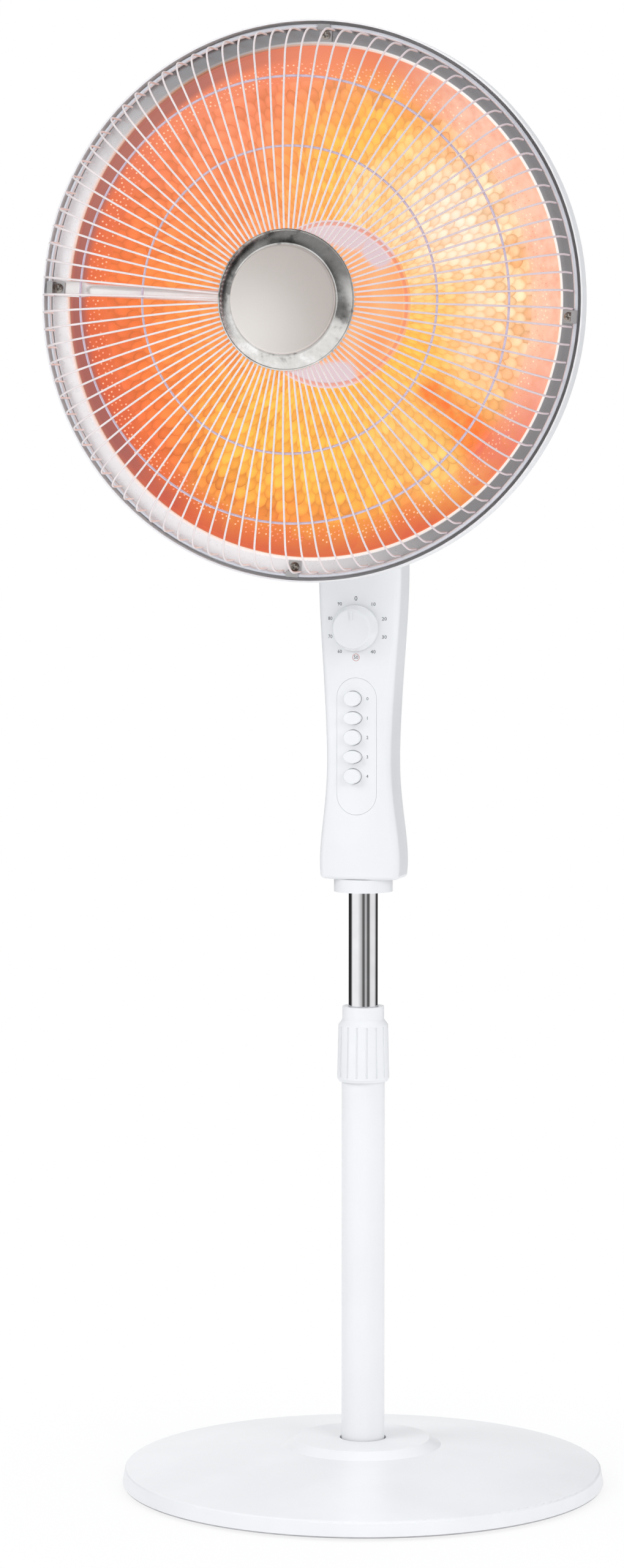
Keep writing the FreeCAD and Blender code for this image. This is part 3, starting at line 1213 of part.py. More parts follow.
def arm_line():
    """The support arm's ends, in the plane through the dish's axis."""
    tab = Vector(arm_tab_radius, 0, -FLANGE_BEHIND + ARM_TAB_HALF_THICKNESS)
    inner = Vector(ARM_INNER_RADIUS, 0, ARM_RISE)
    return tab, inner


def oval_wire(centre, direction, half_width, half_thickness):
    """An oval section whose width lies across the arm."""
    across = Vector(0, 1, 0)
    up = direction.cross(across).normalize() * -1
    oval = Part.Ellipse(centre + across * half_width, centre + up * half_thickness, centre)
    return Part.Wire([oval.toShape()])


def make_element():
    cap_under = cap_roof_u - CAP_SHEET
    holder = rod(HOLDER_FLANGE_RADIUS, HOLDER_FLANGE, Vector(0, 0, cap_under - HOLDER_FLANGE))
    holder = holder.fuse(rod(HOLDER_RADIUS, HOLDER_DEPTH, Vector(0, 0, holder_u)))
    tab, inner = arm_line()
    first = Vector(arm_round_radius, 0, ARM_FIRST_RISE)
    run = (inner - first).normalize()
    rim_end = Vector(flange_radius, 0, tab.z)
    half = ARM_TAB_HALF_THICKNESS
    wide = ARM_TAB_HALF_WIDTH
    sections = [oval_wire(rim_end, RIGHT * -1, wide, half), oval_wire(tab, RIGHT * -1, wide, half)]
    for point in (first, inner):
        sections.append(oval_wire(point, run, ARM_TUBE_HALF_WIDTH, ARM_TUBE_HALF_THICKNESS))
    bore = rod(ARM_TUBE_HALF_THICKNESS - ARM_TUBE_WALL, (inner - first).Length, first, run)
    arm = Part.makeLoft(sections, True, True).cut(bore)
    arm.rotate(ORIGIN, UP, 180 - CLIP_TURN)
    arm = arm.cut(holder)
    core_radius = COIL_RADIUS - COIL_WIRE_RADIUS - SLIDE_CLEARANCE
    core = rod(core_radius, CORE_LENGTH, Vector(0, 0, core_u))
    core = core.fuse(rod(CORE_FLANGE_RADIUS, CORE_FLANGE, Vector(0, 0, core_u)))
    save("element_holder", on_head(holder))
    save("element_core", on_head(core))
    save("support_arm", on_head(arm).cut(clip_screws()))
    save("heating_coil", on_head(wound_coil()))


def helix_point(turn):
    angle = 2 * math.pi * turn
    base_u = core_u + CORE_FLANGE + COIL_MARGIN
    return Vector(COIL_RADIUS * math.cos(angle), COIL_RADIUS * math.sin(angle), base_u + COIL_PITCH * turn)


def helix_tangent(turn):
    angle = 2 * math.pi * turn
    around = 2 * math.pi * COIL_RADIUS
    return Vector(-around * math.sin(angle), around * math.cos(angle), COIL_PITCH).normalize()


def tangent_arc(start, corner, end):
    """The arc from start to end whose tangents meet at the corner."""
    chord_middle = (start + end) / 2
    half_chord = (end - start).Length / 2
    lean = math.acos(min(1.0, half_chord / (corner - start).Length))
    bulge = (corner - chord_middle).normalize() * (half_chord * math.tan(lean / 2))
    return Part.Arc(start, chord_middle + bulge, end).toShape()


def biarc(start, start_way, end, end_way):
    """Two arcs that leave start and reach end along the given ways and meet tangent."""
    gap = end - start
    ways = start_way + end_way
    spread = 2 * (1 - start_way.dot(end_way))
    along = gap.dot(ways)
    reach = (math.sqrt(along * along + spread * gap.dot(gap)) - along) / spread
    corner_a = start + start_way * reach
    corner_b = end - end_way * reach
    joint = (corner_a + corner_b) / 2
    return [tangent_arc(start, corner_a, joint), tangent_arc(joint, corner_b, end)]


def wound_coil():
    """The heating wire: one unbroken tube wound on the core, with a straight lead at each end."""
    quarters = 4 * COIL_TURNS
    first = helix_point(0)
    last = helix_point(COIL_TURNS)
    lead_start = first - helix_tangent(0) * COIL_LEAD
    edges = [Part.makeLine(lead_start, first)]
    for k in range(quarters):
        here = k / 4
        there = (k + 1) / 4
        edges += biarc(helix_point(here), helix_tangent(here), helix_point(there), helix_tangent(there))
    edges.append(Part.makeLine(last, last + helix_tangent(COIL_TURNS) * COIL_LEAD))
    path = Part.Wire(edges)
    section = Part.Wire([Part.makeCircle(COIL_WIRE_RADIUS, lead_start, helix_tangent(0))])
    coil = path.makePipeShell([section], True, False)
    steps = 24
    points = [helix_point(k / steps) for k in range(steps * COIL_TURNS + 1)]
    pairs = [(points[i], points[j]) for i in range(len(points)) for j in range(i + steps // 2, len(points))]
    apart = min((one - other).Length for one, other in pairs)
    print("heating_coil least gap to itself: %.2f mm" % (apart - 2 * COIL_WIRE_RADIUS))
    return coil


def main():
    os.makedirs("parts", exist_ok=True)
    make_base()
    make_pole()
    make_collar()
    make_tube()
    make_box()
    make_panel()
    make_buttons()
    make_switch()
    make_timer()
    make_box_fittings()
    make_fork()
    make_neck()
    make_drive()
    make_bracket()
    make_rear_cover()
    make_reflector()
    make_shell()
    make_clips()
    make_guard()
    make_cap()
    make_element()


main()
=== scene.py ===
"""Looks of a parabolic heater on a telescoping stand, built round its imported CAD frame."""
import math

import bmesh
import bpy
from bpy.props import FloatProperty, FloatVectorProperty, IntProperty, PointerProperty
from mathutils import Euler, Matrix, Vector


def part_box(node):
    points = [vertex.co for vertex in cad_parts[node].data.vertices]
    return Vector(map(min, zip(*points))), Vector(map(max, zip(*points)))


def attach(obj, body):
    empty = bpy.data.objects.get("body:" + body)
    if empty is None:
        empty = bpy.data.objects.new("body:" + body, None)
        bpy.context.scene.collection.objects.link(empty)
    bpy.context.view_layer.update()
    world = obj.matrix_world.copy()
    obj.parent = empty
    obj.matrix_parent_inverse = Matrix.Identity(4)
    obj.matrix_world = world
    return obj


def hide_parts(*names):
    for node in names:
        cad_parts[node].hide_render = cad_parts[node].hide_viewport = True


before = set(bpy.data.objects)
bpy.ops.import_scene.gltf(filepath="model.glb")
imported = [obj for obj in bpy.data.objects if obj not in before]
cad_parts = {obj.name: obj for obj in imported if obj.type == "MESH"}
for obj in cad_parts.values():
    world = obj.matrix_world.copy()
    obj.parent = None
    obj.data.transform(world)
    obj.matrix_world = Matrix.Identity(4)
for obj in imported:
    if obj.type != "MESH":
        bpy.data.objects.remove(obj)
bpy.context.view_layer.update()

bl_info = {
    "name": "Parabolic heater",
    "version": (1, 0, 0),
    "blender": (4, 5, 0),
    "location": "View3D > Sidebar > Heater",
    "description": "Dresses the heater's CAD frame: reflector, guard, controls, finishes and stage",
    "category": "Object",
}

MM = 0.001
FULL_TURN = 2 * math.pi
RIGHT = (1.0, 0.0, 0.0)
UP = (0.0, 0.0, 1.0)
WHITE = (1.0, 1.0, 1.0, 1.0)

# Places read from the frame: the dish's axis, the guard ring's plane, the knob's height and the box's front
RIM_LOW, RIM_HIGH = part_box("guard_rim")
HEAD_Z = (RIM_LOW.z + RIM_HIGH.z) / 2
RIM_Y = (RIM_LOW.y + RIM_HIGH.y) / 2
KNOB_LOW, KNOB_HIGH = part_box("timer_knob")
KNOB_Z = (KNOB_LOW.z + KNOB_HIGH.z) / 2
BOX_FRONT_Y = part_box("box_front")[0].y


class Value:
    """A node's socket that takes part in sums and products."""

    def __init__(self, web, socket):
        self.web = web
        self.socket = socket

    def maths(self, operation, *others):
        """A Math node with this value first."""
        return self.web.node("ShaderNodeMath", {"operation": operation}, dict(enumerate((self,) + others)))

    def after(self, operation, first):
        """A Math node with this value second."""
        return self.web.node("ShaderNodeMath", {"operation": operation}, {0: first, 1: self})

    def __add__(self, other):
        return self.maths("ADD", other)

    def __radd__(self, other):
        return self.after("ADD", other)

    def __sub__(self, other):
        return self.maths("SUBTRACT", other)

    def __rsub__(self, other):
        return self.after("SUBTRACT", other)

    def __mul__(self, other):
        return self.maths("MULTIPLY", other)

    def __rmul__(self, other):
        return self.after("MULTIPLY", other)

    def __truediv__(self, other):
        return self.maths("DIVIDE", other)

    def __rtruediv__(self, other):
        return self.after("DIVIDE", other)

    def __pow__(self, other):
        return self.maths("POWER", other)

    def __gt__(self, other):
        return self.maths("GREATER_THAN", other)

    def __lt__(self, other):
        return self.maths("LESS_THAN", other)


class Web:
    """The nodes of one tree, each made, set and linked in one place."""

    def __init__(self, tree):
        self.tree = tree

    def node(self, kind, settings=None, sockets=None, out=0):
        """A new node with its settings made first; gives one of its outputs, or the node itself."""
        made = self.tree.nodes.new(kind)
        for key, setting in (settings or {}).items():
            if key == "stops":
                self.fill_ramp(made.color_ramp, setting)
            else:
                setattr(made, key, setting)
        for key, given in (sockets or {}).items():
            if isinstance(given, Value):
                self.tree.links.new(given.socket, made.inputs[key])
            else:
                made.inputs[key].default_value = given
        return made if out is None else Value(self, made.outputs[out])

    def fill_ramp(self, ramp, stops):
        """Puts stops of place and colour on a new ramp."""
        first, last = stops[0], stops[-1]
        ramp.elements[0].position, ramp.elements[0].color = first[0], solid(first[1])
        ramp.elements[1].position, ramp.elements[1].color = last[0], solid(last[1])
        for place, colour in stops[1:-1]:
            ramp.elements.new(place).color = solid(colour)

    def ramp(self, value, *stops):
        """A colour from a value, by stops of place and colour."""
        return self.node("ShaderNodeValToRGB", {"stops": stops}, {0: value})

    def spread(self, value, low, high, new_low=0.0, new_high=1.0):
        """A value moved smoothly from one range to another and held at its ends."""
        settings = {"interpolation_type": "SMOOTHSTEP", "clamp": True}
        return self.node("ShaderNodeMapRange", settings, {0: value, 1: low, 2: high, 3: new_low, 4: new_high})

    def blend(self, factor, one, other):
        """One colour turning into another as the factor rises."""
        return self.node("ShaderNodeMix", {"data_type": "RGBA"}, {0: factor, 6: solid(one), 7: solid(other)}, 2)

    def vector(self, operation, one, other):
        """A Vector Math node: a number where the operation gives one, else a vector."""
        out = "Value" if operation in ("DISTANCE", "DOT_PRODUCT", "LENGTH") else 0
        return self.node("ShaderNodeVectorMath", {"operation": operation}, {0: one, 1: other}, out)

    def scaled(self, vector, scale):
        """A vector or colour times a number."""
        return self.node("ShaderNodeVectorMath", {"operation": "SCALE"}, {0: vector, "Scale": scale})

    def noise(self, place, scale, detail=2.0, rough=0.5):
        """Cloudy noise from 0 to 1."""
        sockets = {"Vector": place, "Scale": scale, "Detail": detail, "Roughness": rough}
        return self.node("ShaderNodeTexNoise", {}, sockets)

    def near(self, place, centre, reach):
        """1 at the centre, falling smoothly to 0 at the reach."""
        return self.spread(self.vector("DISTANCE", place, centre), 0.0, reach, 1.0, 0.0)

    def strongest(self, values):
        """The highest of some values."""
        most, *others = values
        for other in others:
            most = most.maths("MAXIMUM", other)
        return most

    def rays(self, *kinds):
        """1 for light paths of the given kinds."""
        path = self.node("ShaderNodeLightPath", out=None)
        return self.strongest([Value(self, path.outputs["Is %s Ray" % kind]) for kind in kinds])


class Finish(Web):
    """One material: its shader, its object-space place and its nodes."""

    def __init__(self, name, **constants):
        self.material = bpy.data.materials.new(name)
        self.material.use_nodes = True
        super().__init__(self.material.node_tree)
        self.tree.nodes.clear()
        self.shader = self.node("ShaderNodeBsdfPrincipled", out=None)
        output = self.node("ShaderNodeOutputMaterial", out=None)
        self.tree.links.new(self.shader.outputs[0], output.inputs[0])
        self.place = self.node("ShaderNodeTexCoord", out="Object")
        for key, constant in constants.items():
            self.feed(key.replace("_", " "), constant)

    def feed(self, socket, value):
        """Links or sets one of the shader's sockets, named as the shader names it."""
        names = {name.lower(): name for name in self.shader.inputs.keys()}
        target = self.shader.inputs[names[socket.lower()]]
        if isinstance(value, Value):
            self.tree.links.new(value.socket, target)
        else:
            target.default_value = solid(value)

    def bump(self, height, strength, distance):
        """Fine relief in the shading."""
        sockets = {"Height": height, "Strength": strength, "Distance": distance}
        self.feed("normal", self.node("ShaderNodeBump", {}, sockets, "Normal"))

    def attribute(self, name):
        """A value stored on the mesh."""
        return self.node("ShaderNodeAttribute", {"attribute_name": name}, out="Fac")

    def along(self, direction):
        """How far a place lies in a direction."""
        return self.vector("DOT_PRODUCT", self.place, direction)

    def flat(self):
        """The place as seen along the dish's axis."""
        return self.vector("MULTIPLY", self.place, (1.0, 0.0, 1.0))

    def from_axis(self):
        """How far a place lies from the dish's axis."""
        return self.vector("DISTANCE", self.flat(), (0.0, 0.0, HEAD_Z))

    def lobes(self, spots):
        """Soft round patches on the bowl, each across, up and wide in millimetres, the strongest winning."""
        return self.strongest([self.near(self.place, bowl_place(x, z), reach * MM) for x, z, reach in spots])

    def on(self, *names):
        """Dresses CAD nodes in this material."""
        for name in names:
            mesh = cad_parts[name].data
            mesh.materials.clear()
            mesh.materials.append(self.material)
        return self


def solid(colour):
    """A colour with its alpha; anything else as it is."""
    if isinstance(colour, (tuple, list)) or type(colour).__name__ == "Color":
        return tuple(colour)[:3] + (1.0,)
    return colour


def faded(colour, share):
    """A colour times a number."""
    return tuple(share * part for part in colour)


def settings():
    """The heater's settings on the scene."""
    return bpy.context.scene.heater


def new_piece(name, mesh, body, slot, *nodes):
    """Puts a finished mesh in the scene, rides it on its body and lets it stand for its CAD nodes."""
    piece = bpy.data.objects.new(name, mesh)
    bpy.context.scene.collection.objects.link(piece)
    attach(piece, body)
    if nodes:
        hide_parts(*nodes)
    return piece


def plain_mesh(host, name):
    """The host's evaluated shape as a plain mesh; the host is then removed."""
    bpy.context.view_layer.update()
    graph = bpy.context.evaluated_depsgraph_get()
    shape = host.evaluated_get(graph)
    mesh = bpy.data.meshes.new_from_object(shape, preserve_all_data_layers=True, depsgraph=graph)
    mesh.name = name
    host.modifiers.clear()
    bpy.data.objects.remove(host)
    return mesh


def run_tree(tree, mesh, name, inputs):
    """Runs a geometry tree on a mesh with its named inputs and gives the result as a plain mesh."""
    host = bpy.data.objects.new(name + "_host", mesh)
    bpy.context.scene.collection.objects.link(host)
    modifier = host.modifiers.new("shape", "NODES")
    modifier.node_group = tree
    for item in tree.interface.items_tree:
        if item.in_out == "INPUT" and item.name in inputs:
            modifier[item.identifier] = inputs[item.name]
    return plain_mesh(host, name)


def new_tree(name, **sockets):
    """An empty geometry tree with one geometry in and out and the named inputs."""
    tree = bpy.data.node_groups.new(name, "GeometryNodeTree")
    tree.interface.new_socket("Geometry", in_out="INPUT", socket_type="NodeSocketGeometry")
    tree.interface.new_socket("Geometry", in_out="OUTPUT", socket_type="NodeSocketGeometry")
    for key, kind in sockets.items():
        tree.interface.new_socket(key.replace("_", " "), in_out="INPUT", socket_type="NodeSocket" + kind)
    web = Web(tree)
    entry = web.node("NodeGroupInput", out=None)
    given = {socket.name: Value(web, socket) for socket in entry.outputs if socket.name}
    return web, given


def close_tree(web, geometry, material):
    """Ends a geometry tree with real meshes in their material."""
    real = web.node("GeometryNodeRealizeInstances", {}, {0: geometry})
    dressed = web.node("GeometryNodeSetMaterial", {}, {"Geometry": real, "Material": material})
    web.node("NodeGroupOutput", {}, {0: dressed}, None)
    return web.tree


def on_dish(web, geometry):
    """Turns what was made round Z to the dish's axis and sets it in the guard ring's plane."""
    return web.node("GeometryNodeTransform", {}, {
        "Geometry": geometry, "Translation": (0.0, RIM_Y, HEAD_Z), "Rotation": (math.pi / 2, 0.0, 0.0)})


def ring_faces(rows, columns, closed):
    """Quads between rings of points, the last ring joined to the first where closed."""
    faces = []
    for row in range(rows if closed else rows - 1):
        here, above = row * columns, (row + 1) % rows * columns
        for k in range(columns):
            beside = (k + 1) % columns
            faces.append((here + k, here + beside, above + beside, above + k))
    return faces


def shell_mesh(name, verts, faces):
    """A closed mesh whose faces point outwards."""
    mesh = bpy.data.meshes.new(name)
    mesh.from_pydata(verts, [], faces)
    outward(mesh)
    return mesh


def turned_mesh(name, profile, columns):
    """A closed profile of (radius, ahead) turned about the dish's axis, each point one ring."""
    verts = []
    for radius, ahead in profile:
        for k in range(columns):
            angle = FULL_TURN * k / columns
            verts.append((radius * math.cos(angle), RIM_Y - ahead, HEAD_Z + radius * math.sin(angle)))
    return shell_mesh(name, verts, ring_faces(len(profile), columns, True))


WELD = 0.002 * MM


def outward(mesh):
    """Merges points that lie together and turns the faces outwards."""
    work = bmesh.new()
    work.from_mesh(mesh)
    bmesh.ops.remove_doubles(work, verts=work.verts, dist=WELD)
    bmesh.ops.recalc_face_normals(work, faces=work.faces)
    work.to_mesh(mesh)
    work.free()


FOLD = math.radians(30)
STEEP_FOLD = math.radians(60)


def smooth(mesh, fold=FOLD):
    """Smooth shading, sharp where faces meet at more than the fold's angle."""
    mesh.shade_smooth()
    mesh.set_sharp_from_angle(angle=fold)


class HeaterStageSettings(bpy.types.PropertyGroup):
    """Where the camera stands and how it looks"""

    azimuth: FloatProperty(name="Azimuth", description="How far the camera stands to the right of the dish's axis",
                           default=math.radians(14.82), subtype="ANGLE")
    distance: FloatProperty(name="Distance", description="From the pole's axis to the camera",
                            default=3.348, unit="LENGTH")
    height: FloatProperty(name="Height", description="Height of the camera", default=0.785, unit="LENGTH")
    pitch: FloatProperty(name="Pitch", description="How far the camera looks down",
                         default=math.radians(4.424), subtype="ANGLE")
    turn: FloatProperty(name="Turn", description="How far the camera turns from the pole",
                        default=math.radians(0.653), subtype="ANGLE")
    lens: FloatProperty(name="Focal length", description="Focal length on a 36 mm long side", default=104.03)


class HeaterFinishSettings(bpy.types.PropertyGroup):
    """Colours of the plastic, paint, plating and print"""

    white: FloatVectorProperty(name="White", description="Moulded plastic of the base, box and controls",
                               default=(0.86, 0.865, 0.88), subtype="COLOR", size=3)
    paint: FloatVectorProperty(name="Enamel", description="Paint of the pole and the dish's back",
                               default=(0.86, 0.865, 0.88), subtype="COLOR", size=3)
    chrome: FloatVectorProperty(name="Chrome", description="Plated inner tube",
                                default=(0.88, 0.88, 0.90), subtype="COLOR", size=3)
    print_grey: FloatVectorProperty(name="Print", description="Printed marks round the knob and beside the buttons",
                                    default=(0.10, 0.10, 0.11), subtype="COLOR", size=3)
    print_red: FloatVectorProperty(name="Ring", description="Printed ring round the lowest dial number",
                                   default=(0.55, 0.18, 0.16), subtype="COLOR", size=3)


class HeaterReflectorSettings(bpy.types.PropertyGroup):
    """Sizes of the reflector's facets and studs"""

    rows: IntProperty(name="Rows", description="Rows of embossed facets between the hub and the studs", default=12)
    facets: IntProperty(name="Facets", description="Facets in one row", default=116)
    facet_height: FloatProperty(name="Facet height", description="Crown of one facet",
                                default=0.85 * MM, unit="LENGTH")
    inner: FloatProperty(name="Inner radius", description="Where the facets begin", default=60 * MM, unit="LENGTH")
    outer: FloatProperty(name="Outer radius", description="Where the facets end", default=156 * MM, unit="LENGTH")
    stud_outer: FloatProperty(name="Stud radius", description="Where the embossed studs end",
                              default=170.5 * MM, unit="LENGTH")
    stud_size: FloatProperty(name="Stud size", description="Radius of one stud", default=0.68 * MM, unit="LENGTH")
    stud_gap: FloatProperty(name="Stud gap", description="Least distance between studs",
                            default=2.7 * MM, unit="LENGTH")


class HeaterGlowSettings(bpy.types.PropertyGroup):
    """Colours and strength of the painted glow in the dish: the element's light as the bowl reflects it, painted on as
    emission
    """

    # Every colour here is painted light: painted glow and painted reflections of the element on the bowl and the hub
    warm: FloatVectorProperty(name="Warm", description="Glow beside the hub",
                              default=(0.95, 0.35, 0.135), subtype="COLOR", size=3)
    orange: FloatVectorProperty(name="Orange", description="Glow over most of the dish",
                                default=(0.97, 0.31, 0.075), subtype="COLOR", size=3)
    ember: FloatVectorProperty(name="Ember", description="Glow towards the studs",
                               default=(0.94, 0.215, 0.06), subtype="COLOR", size=3)
    dusk: FloatVectorProperty(name="Dusk", description="Glow under the lip",
                              default=(0.64, 0.11, 0.065), subtype="COLOR", size=3)
    salmon: FloatVectorProperty(name="Salmon", description="Paler glow at the top of the dish",
                                default=(0.86, 0.275, 0.155), subtype="COLOR", size=3)
    yellow: FloatVectorProperty(name="Yellow", description="Bright swirl beside the hub",
                                default=(1.0, 0.53, 0.085), subtype="COLOR", size=3)
    pale: FloatVectorProperty(name="Pale", description="Bright patch on the right of the dish",
                              default=(1.0, 0.76, 0.50), subtype="COLOR", size=3)
    red: FloatVectorProperty(name="Red", description="Deep streak low in the dish",
                             default=(0.86, 0.09, 0.015), subtype="COLOR", size=3)
    strength: FloatProperty(name="Strength", description="Strength of the glow in the dish", default=1.0)


class HeaterScrewSettings(bpy.types.PropertyGroup):
    """Number, places and sizes of the clip screws"""

    count: IntProperty(name="Count", description="Clip screws round the rim", default=4)
    circle: FloatProperty(name="Circle", description="Radius of the circle the screws stand on",
                          default=186.4 * MM, unit="LENGTH")
    turn: FloatProperty(name="Turn", description="How far the screws are turned from the level",
                        default=math.radians(-3.5), subtype="ANGLE")
    seat: FloatProperty(name="Seat", description="The clips' face ahead of the guard ring's plane",
                        default=-4.0 * MM, unit="LENGTH")
    lift: FloatProperty(name="Lift", description="How much higher the screw on the support arm stands",
                        default=1.2 * MM, unit="LENGTH")
    head: FloatProperty(name="Head", description="Radius of a screw's head", default=3.3 * MM, unit="LENGTH")
    head_height: FloatProperty(name="Head height", description="Height of a screw's head",
                               default=2.0 * MM, unit="LENGTH")
    shank: FloatProperty(name="Shank", description="Radius of a screw's shank", default=1.7 * MM, unit="LENGTH")
    length: FloatProperty(name="Length", description="Length under the head", default=5.8 * MM, unit="LENGTH")


class HeaterGuardSettings(bpy.types.PropertyGroup):
    """Number and thicknesses of the guard's wires"""

    count: IntProperty(name="Spokes", description="Wires from the cap to the rim", default=96)
    spoke: FloatProperty(name="Spoke", description="Radius of a spoke's wire", default=0.75 * MM, unit="LENGTH")
    ring: FloatProperty(name="Ring", description="Radius of a ring's wire", default=0.9 * MM, unit="LENGTH")
    rim: FloatProperty(name="Rim", description="Radius of the rim's wire", default=1.5 * MM, unit="LENGTH")


class HeaterSettings(bpy.types.PropertyGroup):
    """All of the heater's settings"""

    stage: PointerProperty(name="Stage", description="Where the camera stands and how it looks",
                           type=HeaterStageSettings)
    finish: PointerProperty(name="Finishes", description="Colours of the plastic, paint, plating and print",
                            type=HeaterFinishSettings)
    reflector: PointerProperty(name="Reflector", description="Sizes of the reflector's facets and studs",
                               type=HeaterReflectorSettings)
    glow: PointerProperty(name="Glow", description="Colours and strength of the glow in the dish",
                          type=HeaterGlowSettings)
    guard: PointerProperty(name="Guard", description="Number and thicknesses of the guard's wires",
                           type=HeaterGuardSettings)
    screws: PointerProperty(name="Screws", description="Number, places and sizes of the clip screws",
                            type=HeaterScrewSettings)


class HEATER_OT_stage(bpy.types.Operator):
    """Floor, backdrop light, lamps and the camera"""
    bl_idname = "heater.stage"
    bl_label = "Stage"

    def execute(self, context):
        stage_world(context.scene)
        floor = square_card("floor", FLOOR_SIZE)
        floor.data.materials.append(floor_material())
        for lamp in LAMPS:
            add_lamp(context.scene, *lamp)
        place_camera(context.scene, settings().stage)
        return {"FINISHED"}


# Lamps: name, place in metres, turn in degrees, size in metres and power in watts
LAMPS = (
    ("key_left", (-2.2, -2.4, 2.4), (52, 0, -42), (1.8, 1.8), 42.0),
    ("fill_right", (2.6, -2.0, 1.6), (68, 0, 52), (1.6, 2.2), 35.0),
    ("top", (0.0, 0.2, 3.2), (0, 0, 0), (2.4, 2.4), 23.0),
    ("rear", (-0.8, 2.8, 1.9), (-62, 0, 16), (2.2, 2.0), 11.0),
)
FLOOR_SIZE = 4.0
FLOOR_TONE = (0.86, 0.86, 0.87, 1.0)
# How white the floor is to the camera: metres from the pole where it changes, and the share at either end
FLOOR_WHITE = (0.12, 0.42, 0.8, 1.0)
SKY_TONE = (0.96, 0.98, 1.0, 1.0)
SKY_STRENGTH = 0.66
# The studio's walls as bright metal shows them: degrees round from the camera and brightness
WALLS = ((-180, 1.0), (-168, 1.0), (-161, 0.03), (-107, 0.03), (-100, 0.6), (-90, 1.0), (-46, 1.0), (-30, 0.75),
         (-16, 0.5), (-9, 0.16), (3, 0.08), (8, 0.45), (20, 0.6), (26, 0.14), (44, 0.1), (52, 0.75), (64, 0.9),
         (98, 0.88), (110, 0.45), (120, 0.05), (161, 0.05), (168, 1.0), (180, 1.0))
WALL_LEAN = 0.6
# Where the walls darken overhead, from the sine of the height, and to what share
WALL_RISE = (0.15, 0.5, 1.0, 0.3)
SENSOR_WIDTH = 36.0
CLIP_START, CLIP_END = 0.05, 50.0


def square_card(name, size):
    """A flat square on the floor, centred under the pole."""
    half = size / 2
    mesh = bpy.data.meshes.new(name)
    corners = [(-half, -half, 0), (half, -half, 0), (half, half, 0), (-half, half, 0)]
    mesh.from_pydata(corners, [], [(0, 1, 2, 3)])
    card = bpy.data.objects.new(name, mesh)
    bpy.context.scene.collection.objects.link(card)
    return card


def add_lamp(scene, name, place, turn, size, power):
    """A soft rectangular lamp that bright metal doesn't mirror."""
    lamp = bpy.data.lights.new(name, "AREA")
    lamp.shape = "RECTANGLE"
    lamp.size, lamp.size_y = size
    lamp.energy = power
    holder = bpy.data.objects.new(name, lamp)
    holder.location = place
    holder.rotation_euler = Euler([math.radians(angle) for angle in turn])
    holder.visible_glossy = False
    scene.collection.objects.link(holder)


def stage_world(scene):
    """Soft light all round, plain white to the camera, and the studio's walls to bright metal."""
    scene.view_settings.view_transform = "Standard"
    scene.world = bpy.data.worlds.new("studio")
    scene.world.use_nodes = True
    web = Web(scene.world.node_tree)
    web.tree.nodes.clear()
    lit = web.node("ShaderNodeBackground", {}, {"Color": SKY_TONE, "Strength": SKY_STRENGTH})
    white = web.node("ShaderNodeBackground", {}, {"Color": WHITE, "Strength": 1.0})
    walls = web.node("ShaderNodeBackground", {}, {"Color": wall_tone(web), "Strength": 1.0})
    seen = web.rays("Camera", "Glossy", "Transmission")
    mixed = web.node("ShaderNodeMixShader", {}, {0: seen, 1: lit, 2: white})
    mixed = web.node("ShaderNodeMixShader", {}, {0: web.rays("Glossy"), 1: mixed, 2: walls})
    web.node("ShaderNodeOutputWorld", {}, {0: mixed}, None)


def wall_tone(web):
    """How bright the studio's wall is in a direction: white sheets with darker gaps, darker overhead."""
    ahead = settings().stage.azimuth
    way = web.node("ShaderNodeTexCoord", out="Generated")
    near = web.vector("DOT_PRODUCT", way, (math.sin(ahead), -math.cos(ahead), 0.0))
    right = web.vector("DOT_PRODUCT", way, (math.cos(ahead), math.sin(ahead), WALL_LEAN))
    round_share = right.maths("ARCTAN2", near) / FULL_TURN + 0.5
    wall = web.ramp(round_share, *(((turn + 180) / 360, (tone, tone, tone)) for turn, tone in WALLS))
    rise = web.vector("DOT_PRODUCT", way, UP)
    return web.scaled(wall, web.spread(rise, *WALL_RISE))


def floor_material():
    """A pale board that keeps the heater's shadow and is plain white to the camera further out."""
    material = bpy.data.materials.new("studio_floor")
    material.use_nodes = True
    web = Web(material.node_tree)
    web.tree.nodes.clear()
    board = web.node("ShaderNodeBsdfDiffuse", {}, {"Color": FLOOR_TONE})
    white = web.node("ShaderNodeEmission", {}, {"Color": WHITE, "Strength": 1.0})
    away = web.vector("LENGTH", web.node("ShaderNodeTexCoord", out="Object"), (0.0, 0.0, 0.0))
    share = web.rays("Camera", "Glossy") * web.spread(away, *FLOOR_WHITE)
    mixed = web.node("ShaderNodeMixShader", {}, {0: share, 1: board, 2: white})
    web.node("ShaderNodeOutputMaterial", {}, {0: mixed}, None)
    return material


def place_camera(scene, given):
    """The camera at its azimuth, distance and height."""
    camera = bpy.data.cameras.new("camera")
    camera.lens = given.lens
    camera.sensor_width = SENSOR_WIDTH
    camera.clip_start, camera.clip_end = CLIP_START, CLIP_END
    holder = bpy.data.objects.new("camera", camera)
    scene.collection.objects.link(holder)
    right, back = math.sin(given.azimuth) * given.distance, -math.cos(given.azimuth) * given.distance
    holder.location = (right, back, given.height)
    holder.rotation_euler = Euler((math.pi / 2 - given.pitch, 0.0, given.azimuth + given.turn))
    scene.camera = holder


